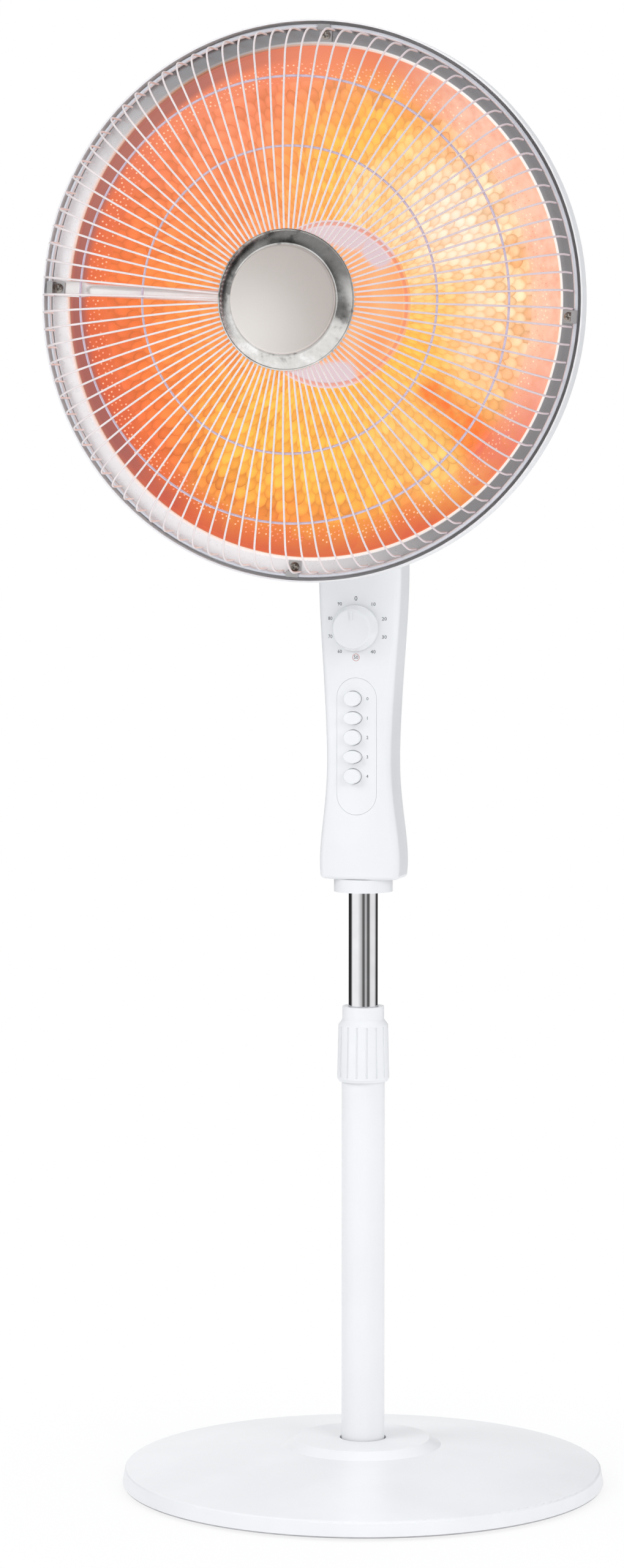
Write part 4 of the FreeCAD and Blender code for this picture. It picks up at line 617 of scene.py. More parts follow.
class HEATER_OT_mouldings(bpy.types.Operator):
    """White mouldings, painted metal and dark inner plastic"""
    bl_idname = "heater.mouldings"
    bl_label = "Mouldings and paint"

    def execute(self, context):
        given = settings().finish
        moulded("white_moulding", given.white, rough=0.34, grain=0.045).on(
            "base_cover", "locking_collar", "tube_socket", "box_front", "box_rear", "button_panel", "rear_cover")
        moulded("white_controls", given.white, rough=0.26, grain=0.03).on(
            "timer_knob", "button_1", "button_2", "button_3", "button_4", "button_5")
        enamel("white_enamel", given.paint).on("pole", "dish_shell", "neck", "head_bracket")
        moulded("grey_moulding", (0.42, 0.43, 0.44), rough=0.42, grain=0.06).on(
            "tube_bush", "tube_guide", "cord_gland", "tilt_knob", "crank")
        moulded("dark_moulding", (0.025, 0.025, 0.027), rough=0.5, grain=0.08).on(
            "switch_block", "timer_body", "tip_switch", "terminal_block")
        moulded("foot_rubber", (0.03, 0.03, 0.03), rough=0.75, grain=0.15).on("foot_ring")
        return {"FINISHED"}


def moulded(name, colour, rough, grain):
    """Moulded plastic: a fine spark grain, faint flow marks and slightly uneven gloss."""
    made = Finish(name, ior=1.49)
    fine = made.noise(made.place, scale=1500.0, detail=3.0)
    flow = made.noise(made.place, scale=14.0, detail=3.0)
    made.feed("base color", made.blend(made.spread(flow, 0.35, 0.7), faded(colour, 0.965), colour))
    made.feed("roughness", rough + (flow - 0.5) * 0.12 + (fine - 0.5) * 0.08)
    made.bump(fine, strength=grain, distance=0.08 * MM)
    return made


def enamel(name, colour):
    """Sprayed enamel: orange peel under a clear gloss."""
    made = Finish(name, roughness=0.42, coat_roughness=0.15)
    peel = made.noise(made.place, scale=420.0)
    shade = made.spread(made.noise(made.place, scale=9.0), 0.3, 0.7)
    made.feed("base color", made.blend(shade, faded(colour, 0.97), colour))
    made.feed("coat weight", 0.06 + shade * 0.06)
    made.bump(peel, strength=0.05, distance=0.1 * MM)
    return made


class HEATER_OT_metals(bpy.types.Operator):
    """Chrome, plated steel, castings and ceramic"""
    bl_idname = "heater.metals"
    bl_label = "Metals and ceramic"

    def execute(self, context):
        chrome("tube_chrome", settings().finish.chrome, rough=0.03).on("inner_tube")
        plated("zinc_plate", (0.52, 0.52, 0.54), rough=0.34).on(
            "base_plate", "base_screws", "pole_plug", "pole_bolt", "pole_washer", "box_screws", "inner_screws",
            "timer_nut", "timer_shaft", "tilt_fork", "tilt_bolt", "swing_arm", "spindle_screw", "head_screws",
            "swing_motor", "thermal_cutout", "link", "hub_spacers")
        plated("clip_plate", (0.62, 0.62, 0.63), rough=0.34).on("guard_clips")
        plated("cast_skin", (0.10, 0.10, 0.105), rough=0.7).on("base_weight")
        ceramic().on("element_holder", "element_core")
        return {"FINISHED"}


# Where a wire's tone begins to turn to a painted shade on its way to the right, and where the change ends, in metres
# from the dish's axis
WIRE_SHADE_CHANGE = (-0.03, 0.14)


def chrome(name, colour, rough, metallic=1.0, right=None):
    """Bright or satin plating with faint drawing lines and haze; it may turn to a painted shade of another tone on the
    right.
    """
    made = Finish(name, metallic=metallic)
    haze = made.noise(made.place, scale=60.0, detail=4.0)
    lines = made.noise(made.vector("MULTIPLY", made.place, (900.0, 900.0, 12.0)), scale=1.0)
    tone = made.blend(made.spread(haze, 0.35, 0.75), faded(colour, 0.93), colour)
    # Painted shade: the tone turns darker towards the right
    if right:
        tone = made.blend(made.spread(made.along(RIGHT), *WIRE_SHADE_CHANGE), tone, right)
    made.feed("base color", tone)
    made.feed("roughness", rough + (haze - 0.5) * 0.06 + (lines - 0.5) * 0.03)
    return made


def plated(name, colour, rough):
    """Zinc plate or a cast skin: mottled tone and gloss with a fine tooth."""
    made = Finish(name, metallic=1.0)
    mottle = made.noise(made.place, scale=130.0, detail=4.0)
    made.feed("base color", made.blend(made.spread(mottle, 0.3, 0.7), faded(colour, 0.85), colour))
    made.feed("roughness", rough + (mottle - 0.5) * 0.2)
    made.bump(made.noise(made.place, scale=900.0), strength=0.08, distance=0.05 * MM)
    return made


def polished_cap():
    """Polished spun steel: rings left by the tool, and painted reflection streaks across them."""
    made = Finish("cap_polish", metallic=1.0)
    turned = {"W": made.from_axis(), "Scale": 2600.0, "Detail": 2.0}
    rings = made.node("ShaderNodeTexNoise", {"noise_dimensions": "1D"}, turned)
    middle = made.vector("SUBTRACT", made.place, (0.0, 0.0, HEAD_Z))
    stretched = made.vector("MULTIPLY", middle, (70.0, 8.0, 70.0))
    # Painted reflections: streaks of dark and bright base colour stand in for what the polished ring reflects
    streak = made.noise(stretched, scale=1.0, detail=3.0, rough=0.62) + (rings - 0.5) * 0.1
    made.feed("base color", made.ramp(streak, (0.34, (0.34, 0.335, 0.33)), (0.44, (0.70, 0.69, 0.67)),
                                      (0.56, (0.80, 0.79, 0.77)), (0.66, (0.96, 0.96, 0.95))))
    made.feed("roughness", 0.12 + rings * 0.1 + made.spread(streak, 0.4, 0.7) * 0.12)
    return made


# The middle of the disc's painted highlight, lighter towards the lower left, across and up from the dish's axis, and
# how far it reaches, in metres
HIGHLIGHT_ACROSS, HIGHLIGHT_UP, HIGHLIGHT_REACH = -0.026, -0.024, 0.07


def satin_disc():
    """Satin pressed steel, brushed across, a little uneven, with a painted highlight towards the lower left."""
    made = Finish("cap_satin", metallic=0.5)
    brushed = made.noise(made.vector("MULTIPLY", made.place, (30.0, 30.0, 1500.0)), scale=1.0, detail=3.0)
    cloud = made.noise(made.place, scale=22.0)
    tone = made.blend(cloud, (0.56, 0.51, 0.475), (0.64, 0.58, 0.545))
    # Painted highlight: the disc is lighter towards the lower left
    painted_highlight = made.near(made.flat(), (HIGHLIGHT_ACROSS, 0.0, HEAD_Z + HIGHLIGHT_UP), HIGHLIGHT_REACH)
    made.feed("base color", made.blend(painted_highlight * 0.85, tone, (0.88, 0.84, 0.80)))
    made.feed("roughness", 0.36 + (brushed - 0.5) * 0.16)
    made.bump(brushed, strength=0.05, distance=0.03 * MM)
    return made


def ceramic():
    """Unglazed ceramic, warm beige and speckled."""
    made = Finish("element_ceramic", roughness=0.8)
    speck = made.noise(made.place, scale=700.0, detail=3.0)
    made.feed("base color", made.ramp(speck, (0.3, (0.60, 0.52, 0.44)), (0.5, (0.74, 0.69, 0.62)),
                                      (0.8, (0.80, 0.77, 0.72))))
    made.bump(speck, strength=0.15, distance=0.1 * MM)
    return made


class HEATER_OT_reflector(bpy.types.Operator):
    """The embossed reflector with its facets, studs, lip and flange, and the hub plate's finish, with the element's
    glow and reflections painted on them
    """
    bl_idname = "heater.reflector"
    bl_label = "Reflector"

    def execute(self, context):
        given = settings().reflector
        profile, front_rings = reflector_profile(given)
        columns = given.facets * FACET_POINTS
        host = turned_mesh("reflector_blank", profile, columns)
        mark_front(host, front_rings * columns)
        inputs = {
            "Inner": given.inner, "Outer": given.outer, "Rows": float(given.rows), "Facets": float(given.facets),
            "Height": given.facet_height, "Stud Outer": given.stud_outer, "Stud Size": given.stud_size,
            "Stud Gap": given.stud_gap, "Material": reflector_material(settings().glow),
        }
        mesh = run_tree(emboss_tree(), host, "reflector_bowl", inputs)
        mesh.set_sharp_from_angle(angle=STEEP_FOLD)
        new_piece("reflector_bowl", mesh, "head", "reflector", "reflector")
        hub_finish(settings().glow).on("hub_plate")
        return {"FINISHED"}


# The reflector's section as the frame has it, in millimetres: radii, places ahead of the guard ring's plane (_u), wall
SECTION = {"seat": 52.0, "hub": 60.0, "lip": 179.6, "edge": 182.0, "flange": 191.5, "hub_u": -56.4, "lip_u": -8.4,
           "flange_u": -5.0, "bend_u": -7.4, "wall": 0.8}
# Points of the section along a facet, from the facets to the lip, and round the bend at the lip
FACET_POINTS = 4
LIP_STEPS = 8
BEND_STEPS = 4
# Every how many points of the front the plain back has one, and the flange's own points from its inner edge
BACK_STRIDE = 8
FLANGE_POINTS = (3.2, 6.4)


def bowl_depth(radius):
    """How far ahead the bowl's front lies at a radius, on the arc through hub, middle and lip."""
    hub, lip = SECTION["hub"], SECTION["lip"]
    low, high = SECTION["hub_u"], SECTION["lip_u"]
    middle = (hub + lip) / 2
    middle_u = low + (high - low) * (middle ** 2 - hub ** 2) / (lip ** 2 - hub ** 2)
    centre = arc_centre(Vector((hub, low)), Vector((middle, middle_u)), Vector((lip, high)))
    size = math.hypot(hub - centre.x, low - centre.y)
    return centre.y - math.sqrt(size ** 2 - (radius - centre.x) ** 2)


def reflector_profile(given):
    """The closed section in metres, front first, and how many of its points are on the front."""
    seat, lip, edge, rim = (SECTION[key] for key in ("seat", "lip", "edge", "flange"))
    hub_u, lip_u, bend_u, flange_u = (SECTION[key] for key in ("hub_u", "lip_u", "bend_u", "flange_u"))
    wall, bend = SECTION["wall"], edge - lip
    steps = given.rows * FACET_POINTS
    step = (given.outer - given.inner) / MM / steps
    radii = [given.inner / MM + step * k for k in range(steps + 1)]
    last = radii[-1]
    radii += [last + (lip - last) * k / LIP_STEPS for k in range(1, LIP_STEPS + 1)]
    front = [(seat, hub_u)] + [(radius, bowl_depth(radius)) for radius in radii]
    turn = [(lip, bend_u)]
    for k in range(1, BEND_STEPS + 1):
        angle = math.pi / 2 * k / BEND_STEPS
        turn.append((edge - bend * math.cos(angle), bend_u + bend * math.sin(angle)))
    flange = [(edge + out, flange_u) for out in FLANGE_POINTS] + [(rim, flange_u), (rim, flange_u - wall)]
    rear = [(edge, flange_u - wall), (edge, lip_u - wall), (lip, lip_u - wall)]
    rear += [(radius, bowl_depth(radius) - wall) for radius in reversed(radii[::BACK_STRIDE])]
    rear.append((seat, hub_u - wall))
    points = front + turn + flange + rear
    return [(radius * MM, ahead * MM) for radius, ahead in points], len(front)


def mark_front(mesh, count):
    """Stores 1 on the first points, those of the bowl's front, where the embossing goes."""
    front = mesh.attributes.new("front", "FLOAT", "POINT")
    for k, item in enumerate(front.data):
        item.value = 1.0 if k < count else 0.0


SCALE_BULGE = 0.45
SCALE_CROWN = 1.7
# Keeps points that lie on a facet's edge on one side of it
NUDGE = 0.0005


def scales(web, across, up, inner, outer, rows, facets):
    """Facets laid like scales, each row's rounded ends reaching into the next: each one's crown and own tone."""
    turn = up.maths("ARCTAN2", across) / FULL_TURN + 1.0
    row = ((across * across + up * up).maths("SQRT") - inner) / (outer - inner) * rows
    low = (row + NUDGE).maths("FLOOR")
    before = scale_column(turn, low - 1.0, facets)
    which = low - (row - low < scale_reach(before.maths("FRACT")))
    column = scale_column(turn, which, facets)
    along = column.maths("FRACT")
    depth = (row - which) / (1 + scale_reach(along))
    crown = depth * (1 - depth ** 4.0) * (along * (1 - along) * 4.0).maths("SQRT") * SCALE_CROWN
    cell = web.node("ShaderNodeCombineXYZ", {}, {0: which, 1: column.maths("FLOOR")})
    tone = web.node("ShaderNodeTexWhiteNoise", {"noise_dimensions": "2D"}, {"Vector": cell})
    return crown, tone


def scale_column(turn, row, facets):
    """Where a point lies along a row, every other row set over by half a facet."""
    return turn * facets + (row + 2.0).maths("MODULO", 2.0) * 0.5 + NUDGE


def scale_reach(along):
    """How far a facet's rounded end reaches into the next row."""
    return along * (1 - along) * (4 * SCALE_BULGE)


STUD_SEED = 11
STUD_DENSITY = 220000.0
STUD_SEGMENTS, STUD_RINGS = 7, 4
STUD_SCALE = (1.0, 1.0, 0.55)


def emboss_tree():
    """Crowned facets in staggered rows, then studs scattered over the ring outside them."""
    web, given = new_tree("reflector_emboss", Inner="Float", Outer="Float", Rows="Float", Facets="Float",
                          Height="Float", Stud_Outer="Float", Stud_Size="Float", Stud_Gap="Float",
                          Material="Material")
    parts = web.node("ShaderNodeSeparateXYZ", {}, {0: web.node("GeometryNodeInputPosition")}, None)
    across, up = Value(web, parts.outputs[0]), Value(web, parts.outputs[2]) - HEAD_Z
    radius = (across * across + up * up).maths("SQRT")
    crown, tone = scales(web, across, up, given["Inner"], given["Outer"], given["Rows"], given["Facets"])
    front = web.node("GeometryNodeInputNamedAttribute", {"data_type": "FLOAT"}, {"Name": "front"})
    inside = (radius > given["Inner"]) * (radius < given["Outer"]) * (front > 0.5)
    high = crown * inside * given["Height"] * (0.75 + tone * 0.5)
    lift = web.scaled(web.node("GeometryNodeInputNormal"), high)
    raised = web.node("GeometryNodeSetPosition", {}, {"Geometry": given["Geometry"], "Offset": lift})
    ring = (radius > given["Outer"] + given["Stud Size"]) * (radius < given["Stud Outer"]) * (front > 0.9)
    scatter = web.node("GeometryNodeDistributePointsOnFaces", {"distribute_method": "POISSON"}, {
        "Mesh": raised, "Selection": ring, "Distance Min": given["Stud Gap"], "Density Max": STUD_DENSITY,
        "Seed": STUD_SEED}, None)
    ball = web.node("GeometryNodeMeshUVSphere", {}, {
        "Segments": STUD_SEGMENTS, "Rings": STUD_RINGS, "Radius": given["Stud Size"]})
    stud = web.node("GeometryNodeStoreNamedAttribute", {"data_type": "FLOAT", "domain": "POINT"},
                    {"Geometry": ball, "Name": "stud", "Value": 1.0})
    studs = web.node("GeometryNodeInstanceOnPoints", {}, {
        "Points": Value(web, scatter.outputs["Points"]), "Instance": stud,
        "Rotation": Value(web, scatter.outputs["Rotation"]), "Scale": STUD_SCALE})
    joined = web.node("GeometryNodeJoinGeometry", out=None)
    web.tree.links.new(raised.socket, joined.inputs[0])
    web.tree.links.new(studs.socket, joined.inputs[0])
    rounded = web.node("GeometryNodeSetShadeSmooth", {}, {"Geometry": Value(web, joined.outputs[0])})
    return close_tree(web, rounded, given["Material"])


def bowl_place(x, z):
    """A place on the bowl or the hub plate, given across and up from the dish's axis in millimetres."""
    ahead = bowl_depth(min(max(math.hypot(x, z), SECTION["hub"]), SECTION["lip"]))
    return (x * MM, RIM_Y - ahead * MM, HEAD_Z + z * MM)


# Patches of painted glow and painted reflection on the bowl and the hub plate: spots across and up from the dish's axis
# and wide, in millimetres
SPOTS = {
    "top": ((-62, 130, 135), (5, 165, 115)),
    "swirl": ((70, 5, 175), (10, -95, 130), (-34, -98, 110), (42, 84, 125), (96, -86, 105)),
    "bright": ((100, 54, 118), (124, -6, 84), (52, 66, 70)),
    "white": ((96, 58, 56),),
    "inner": ((73, -42, 34), (84, 0, 36), (42, 73, 36)),
    "peach": ((130, -50, 62),),
    "honey": ((64, -92, 62), (84, -108, 50)),
    "streak": ((78, -64, 24), (88, -73, 27), (98, -81, 31), (108, -89, 34), (117, -96, 37)),
    "hub": ((-8, 56, 26), (14, 53, 26), (36, 38, 20), (-16, -54, 26), (4, -54, 26)),
}
# Tones at one place of the bowl, the lip, the flange or the hub plate: mostly painted light, that is painted
# reflections and glow, painted shade under the lip and at the facets' edges, painted glints on the studs, a painted
# highlight on the lip and a painted reflection on the flange; the bowl's, the studs' and the hub's metal tones are
# their own base colours
TINTS = {
    "white": (1.0, 0.87, 0.76), "peach": (1.0, 0.56, 0.32), "honey": (1.0, 0.66, 0.27),
    "blush_low": (0.80, 0.20, 0.155), "blush": (0.97, 0.60, 0.46), "shade": (0.38, 0.13, 0.115),
    "stud_dark": (0.62, 0.10, 0.06), "stud_light": (1.0, 0.62, 0.40), "seam": (1.0, 0.47, 0.13),
    "lip_left": (0.07, 0.05, 0.04), "lip_right": (0.75, 0.72, 0.70),
    "flange_left": (0.95, 0.96, 0.98), "flange_right": (0.38, 0.385, 0.40),
    "bowl_metal": (0.12, 0.07, 0.045), "stud_metal": (0.5, 0.36, 0.30),
    "hub_light": (0.96, 0.46, 0.22), "hub_pale": (0.66, 0.56, 0.62), "hub_bead": (0.80, 0.26, 0.15),
    "hub_dark": (0.14, 0.08, 0.06), "hub_metal": (0.20, 0.13, 0.10),
}
# Where things begin and are full, in metres from the dish's axis, then across and up from it; two more numbers
# give the shares at either end where these aren't 0 and 1
BANDS = {
    "facets": (0.1562, 0.1555), "blush": (0.146, 0.164), "under_lip": (0.167, 0.173), "sparks": (0.11, 0.15, 0.8, 1.3),
    "lit": (0.1800, 0.1790), "lip_inside": (0.1790, 0.1796), "lip_outside": (0.1822, 0.1812),
    "hub_pale": (0.034, 0.046), "bead_inside": (0.0555, 0.0565), "bead_outside": (0.0590, 0.0580),
    "blush_across": (0.04, 0.12), "shade_across": (0.02, -0.10), "seam_across": (-0.05, 0.06),
    "lip_across": (-0.08, 0.12), "blush_up": (-0.145, -0.10), "blush_low_up": (-0.11, -0.02),
    "shade_up": (-0.155, -0.095), "flange_side": (-0.12, 0.03),
}
GLOW_REACH = 0.18


class BowlFinish(Finish):
    """The reflector's material, with the values that its painted glow, painted highlights and painted shade are laid
    out by.
    """

    def __init__(self, glow):
        super().__init__("reflector_glow", emission_strength=glow.strength)
        self.glow = glow
        shape = settings().reflector
        self.radius = self.from_axis()
        self.across, self.up = self.along(RIGHT), self.along(UP) - HEAD_Z
        self.crown, self.tone = scales(self, self.across, self.up, shape.inner, shape.outer,
                                       float(shape.rows), float(shape.facets))
        self.wave = self.noise(self.place, scale=26.0, detail=3.0)
        self.fine = self.noise(self.place, scale=150.0, detail=3.0)
        self.uneven = (self.wave - 0.5) * 0.8 + (self.fine - 0.5) * 0.7 + (self.tone - 0.5) * 0.22
        self.stud = self.attribute("stud")
        self.faceted = self.band("facets")

    def band(self, name):
        """1 inside a band of radius, by its name."""
        return self.spread(self.radius, *BANDS[name])

    def patch(self, name, begin, full):
        """A patch of painted glow with a firm, uneven edge."""
        return self.spread(self.lobes(SPOTS[name]) * (0.9 + self.uneven), begin, full)

    def wash(self, name, strength):
        """A patch of painted glow that fades out softly."""
        return self.lobes(SPOTS[name]) * (strength + self.uneven * 0.4)

    def zones(self):
        """The painted glow over the bowl: rings of orange from the hub out, then the painted reflection patches in
        order.
        """
        glow, inner = self.glow, settings().reflector.inner
        reach = self.radius + (self.wave - 0.5) * 0.04 + (self.fine - 0.5) * 0.02
        share = (reach - inner) / (GLOW_REACH - inner)
        colour = self.ramp(share, (0.0, glow.warm), (0.35, glow.orange), (0.66, glow.ember), (1.0, glow.dusk))
        for factor, tint in (
                (self.lobes(SPOTS["top"]) * 0.75, glow.salmon),
                (self.patch("swirl", 0.04, 0.92), glow.yellow),
                (self.patch("bright", 0.08, 0.85), glow.pale),
                (self.wash("white", 0.65), TINTS["white"]),
                (self.wash("inner", 0.55), glow.yellow),
                (self.wash("peach", 0.75), TINTS["peach"]),
                (self.wash("honey", 0.5), TINTS["honey"]),
                (self.patch("streak", 0.15, 1.0) * 0.85, glow.red)):
            colour = self.blend(factor, colour, tint)
        return colour

    def outer_ring(self, colour):
        """The ring of studs: a painted pale reflection on the right, painted shade under the lip on the left, and
        painted glints on the studs.
        """
        # Painted reflection: a pale blush on the right of the stud ring, deeper pink lower down
        blush = self.band("blush") * self.spread(self.across, *BANDS["blush_across"])
        blush = blush * self.spread(self.up, *BANDS["blush_up"])
        blush_low = self.blend(self.spread(self.up, *BANDS["blush_low_up"]), TINTS["blush_low"], TINTS["blush"])
        colour = self.blend(blush * (0.78 + (self.fine - 0.5) * 0.9), colour, blush_low)
        # Painted shade under the lip on the left
        shade = self.band("under_lip") * self.spread(self.across, *BANDS["shade_across"])
        colour = self.blend(shade * self.spread(self.up, *BANDS["shade_up"]), colour, TINTS["shade"])
        # Painted glints on the studs
        glint = self.blend(self.spread(self.fine, 0.4, 0.62), TINTS["stud_dark"], TINTS["stud_light"])
        return self.blend(self.stud * 0.6, colour, glint)

    def seams(self, colour):
        """Painted shade at the facets' edges, in a warmer orange, and some facets, picked at random, painted warmer."""
        seam = self.spread(self.crown, 0.95, 0.0) * 0.26 + self.spread(self.tone, 0.45, 0.1) * 0.18
        warm = self.blend(self.spread(self.across, *BANDS["seam_across"]), self.glow.ember, TINTS["seam"])
        return self.blend(self.faceted * seam, colour, warm)


def reflector_material(glow):
    """Bright embossed aluminium with the element's light painted on as emission: orange, with a yellow swirl and a pale
    patch.
    """
    made = BowlFinish(glow)
    colour = made.seams(made.outer_ring(made.zones()))
    # Painted highlights on the facets' crowns and painted shade at their edges, varied per facet
    spark = 1.0 + made.faceted * (made.crown * 0.24 + made.tone * 0.22 - 0.25) * made.band("sparks")
    # The painted glow is kept to the bowl's front and the studs
    lit = made.band("lit") * made.attribute("front").maths("MAXIMUM", made.stud)
    # Painted highlight on the lip's bend, dark on the left and pale on the right
    spill = made.blend(made.spread(made.across, *BANDS["lip_across"]), TINTS["lip_left"], TINTS["lip_right"])
    lip = made.band("lip_inside") * made.band("lip_outside")
    made.feed("emission color", made.blend(lip, made.scaled(colour, lit * spark), spill))
    # Painted reflection on the flange as its base colour: near white on the left, dark grey on the right, and less
    # metallic where it is painted white
    side = made.spread(made.across * 0.8 + made.up * 0.45, *BANDS["flange_side"])
    flange = made.blend(side, TINTS["flange_left"], TINTS["flange_right"])
    metal = made.blend(made.stud, TINTS["bowl_metal"], TINTS["stud_metal"])
    made.feed("base color", made.blend(lit, flange, metal))
    made.feed("metallic", 1 - (1 - lit) * (1 - side) * 0.9)
    made.feed("roughness", 0.28 + (made.fine - 0.5) * 0.1 - lit * (0.08 - made.tone * 0.1))
    return made.material


def hub_finish(glow):
    """The hub plate's bright disc, with painted orange glow and painted pale reflections above and below."""
    made = Finish("hub_glow", metallic=1.0, emission_strength=glow.strength)
    wave = made.noise(made.place, scale=40.0, detail=3.0)
    radius = made.from_axis()
    colour = made.blend(made.spread(wave, 0.3, 0.7), glow.warm, TINTS["hub_light"])
    # Painted pale reflections above and below the hub
    pale = made.lobes(SPOTS["hub"]) * made.spread(radius, *BANDS["hub_pale"])
    colour = made.blend(made.spread(pale, 0.1, 0.5), colour, TINTS["hub_pale"])
    # Painted glow on the bead ring
    bead = made.spread(radius, *BANDS["bead_inside"]) * made.spread(radius, *BANDS["bead_outside"])
    made.feed("emission color", made.blend(bead * 0.7, colour, TINTS["hub_bead"]))
    made.feed("base color", made.blend(wave, TINTS["hub_dark"], TINTS["hub_metal"]))
    made.feed("roughness", 0.24 + (wave - 0.5) * 0.1)
    return made


class HEATER_OT_guard(bpy.types.Operator):
    """The guard's wires, swept along their paths: spokes, rings and the rim"""
    bl_idname = "heater.guard"
    bl_label = "Guard wires"

    def execute(self, context):
        given = settings().guard
        rings, rim = guard_rings(given)
        spoke = [(spoke_line(given), False)]
        # The spokes turn to a painted lavender shade towards the right
        spoke_satin = chrome("spoke_satin", (0.93, 0.86, 0.865), rough=0.42, metallic=0.25,
                             right=(0.78, 0.66, 0.69))
        ring_satin = chrome("ring_satin", (0.72, 0.62, 0.76), rough=0.42, metallic=0.35)
        rim_satin = chrome("rim_satin", (0.76, 0.78, 0.84), rough=0.4, metallic=0.35)
        for name, lines, count, thickness, finish, node in (
                ("guard_spoke_wires", spoke, given.count, given.spoke, spoke_satin, "guard_spokes"),
                ("guard_ring_wires", rings, 1, given.ring, ring_satin, "guard_rings"),
                ("guard_rim_wire", rim, 1, given.rim, rim_satin, "guard_rim")):
            inputs = {"Count": count, "Thickness": thickness, "Turn": math.pi / given.count,
                      "Material": finish.material}
            mesh = run_tree(wire_tree(), line_mesh(name, lines), name, inputs)
            outward(mesh)
            smooth(mesh, STEEP_FOLD)
            new_piece(name, mesh, "head", "chrome", node)
        return {"FINISHED"}


# The guard's wires in millimetres from the dish's axis and ahead of the rim wire's plane
GUARD = {"end": (43.0, 57.6), "inner": (106.0032, 54.0), "outer": (154.5024, 45.0), "rim": 192.0, "shoulder": 27.0}
FRONT_STEPS = 10
SHOULDER_STEPS = 8
RING_STEPS = 240
WIRE_SIDES = 8


def arc_points(start, middle, end, steps):
    """Points along the short arc from start through middle to end."""
    centre = arc_centre(start, middle, end)
    first, last = start - centre, end - centre
    begin = math.atan2(first.y, first.x)
    sweep = (math.atan2(last.y, last.x) - begin + math.pi) % FULL_TURN - math.pi
    angles = [begin + sweep * k / steps for k in range(steps + 1)]
    return [centre + first.length * Vector((math.cos(angle), math.sin(angle))) for angle in angles]


def arc_centre(start, middle, end):
    """The centre of the circle through three points."""
    one, two = middle - start, end - start
    cross = 2 * (one.x * two.y - one.y * two.x)
    across = two.y * one.length_squared - one.y * two.length_squared
    up = one.x * two.length_squared - two.x * one.length_squared
    return start + Vector((across, up)) / cross


def guard_front():
    """The three points that the guard's gentle front goes through, and its arc's radius at the outer one."""
    start, inner, ring = Vector(GUARD["end"]), Vector(GUARD["inner"]), Vector(GUARD["outer"])
    return start, inner, ring, ring - arc_centre(start, inner, ring)


def spoke_line(given):
    """One spoke as the frame has it: a gentle front, a tight shoulder and a straight fall to the rim."""
    start, inner, ring, radius = guard_front()
    slope = Vector((radius.y, -radius.x)).normalized()
    foot = GUARD["rim"] - (given.rim + given.spoke) / MM
    corner = ring + slope * (foot - ring.x) / slope.x
    fall = Vector((0.0, -1.0))
    turn = math.acos(slope.dot(fall))
    reach = GUARD["shoulder"] * math.tan(turn / 2)
    bend_start, bend_end = corner - slope * reach, corner + fall * reach
    chord = (bend_start + bend_end) / 2
    crown = chord + (corner - chord).normalized() * GUARD["shoulder"] * (1 - math.cos(turn / 2))
    points = arc_points(start, inner, ring, FRONT_STEPS)
    points += arc_points(bend_start, crown, bend_end, SHOULDER_STEPS)
    points.append(Vector((foot, -given.spoke / MM)))
    return [(point.x * MM, 0.0, point.y * MM) for point in points]


def guard_rings(given):
    """The closed lines of the three rings under the spokes, and of the rim."""
    start, inner, ring, radius = guard_front()
    below = (given.spoke + given.ring) / MM
    lean = abs(radius.y) / radius.length
    places = ((ring.x, ring.y - below / lean), (inner.x, inner.y - below),
              (start.x + given.ring / MM, start.y - below))
    return [(round_line(*place), True) for place in places], [(round_line(GUARD["rim"], 0.0), True)]


def round_line(radius, ahead):
    """Points of a circle round the dish's axis, from millimetres."""
    angles = [FULL_TURN * k / RING_STEPS for k in range(RING_STEPS)]
    return [(radius * MM * math.cos(angle), radius * MM * math.sin(angle), ahead * MM) for angle in angles]


def line_mesh(name, lines):
    """Open or closed lines as a mesh of edges."""
    verts, edges = [], []
    for points, closed in lines:
        first = len(verts)
        verts += points
        edges += [(first + k, first + k + 1) for k in range(len(points) - 1)]
        if closed:
            edges.append((len(verts) - 1, first))
    mesh = bpy.data.meshes.new(name + "_lines")
    mesh.from_pydata(verts, edges, [])
    return mesh


def wire_tree():
    """Sweeps a round section along the lines and sets copies round the dish's axis."""
    web, given = new_tree("guard_wires", Count="Int", Thickness="Float", Turn="Float", Material="Material")
    line = web.node("GeometryNodeMeshToCurve", {}, {"Mesh": given["Geometry"]})
    section = web.node("GeometryNodeCurvePrimitiveCircle", {}, {"Resolution": WIRE_SIDES, "Radius": given["Thickness"]})
    wire = web.node("GeometryNodeCurveToMesh", {}, {"Curve": line, "Profile Curve": section, "Fill Caps": True})
    spots = web.node("GeometryNodeMeshLine", {}, {"Count": given["Count"], "Offset": (0.0, 0.0, 0.0)})
    turn = (web.node("GeometryNodeInputIndex") * 2.0 + 1.0) * given["Turn"]
    wires = web.node("GeometryNodeInstanceOnPoints", {}, {
        "Points": spots, "Instance": wire, "Rotation": web.node("ShaderNodeCombineXYZ", {}, {2: turn})})
    return close_tree(web, on_dish(web, wires), given["Material"])


class HEATER_OT_arm(bpy.types.Operator):
    """The chromed arm that carries the element and the cap"""
    bl_idname = "heater.arm"
    bl_label = "Support arm"

    def execute(self, context):
        mesh = arm_mesh()
        smooth(mesh)
        finish = chrome("arm_chrome", (0.93, 0.92, 0.92), rough=0.2, metallic=0.55)
        mesh.materials.append(finish.material)
        new_piece("arm_tube", mesh, "head", "chrome", "support_arm")
        return {"FINISHED"}


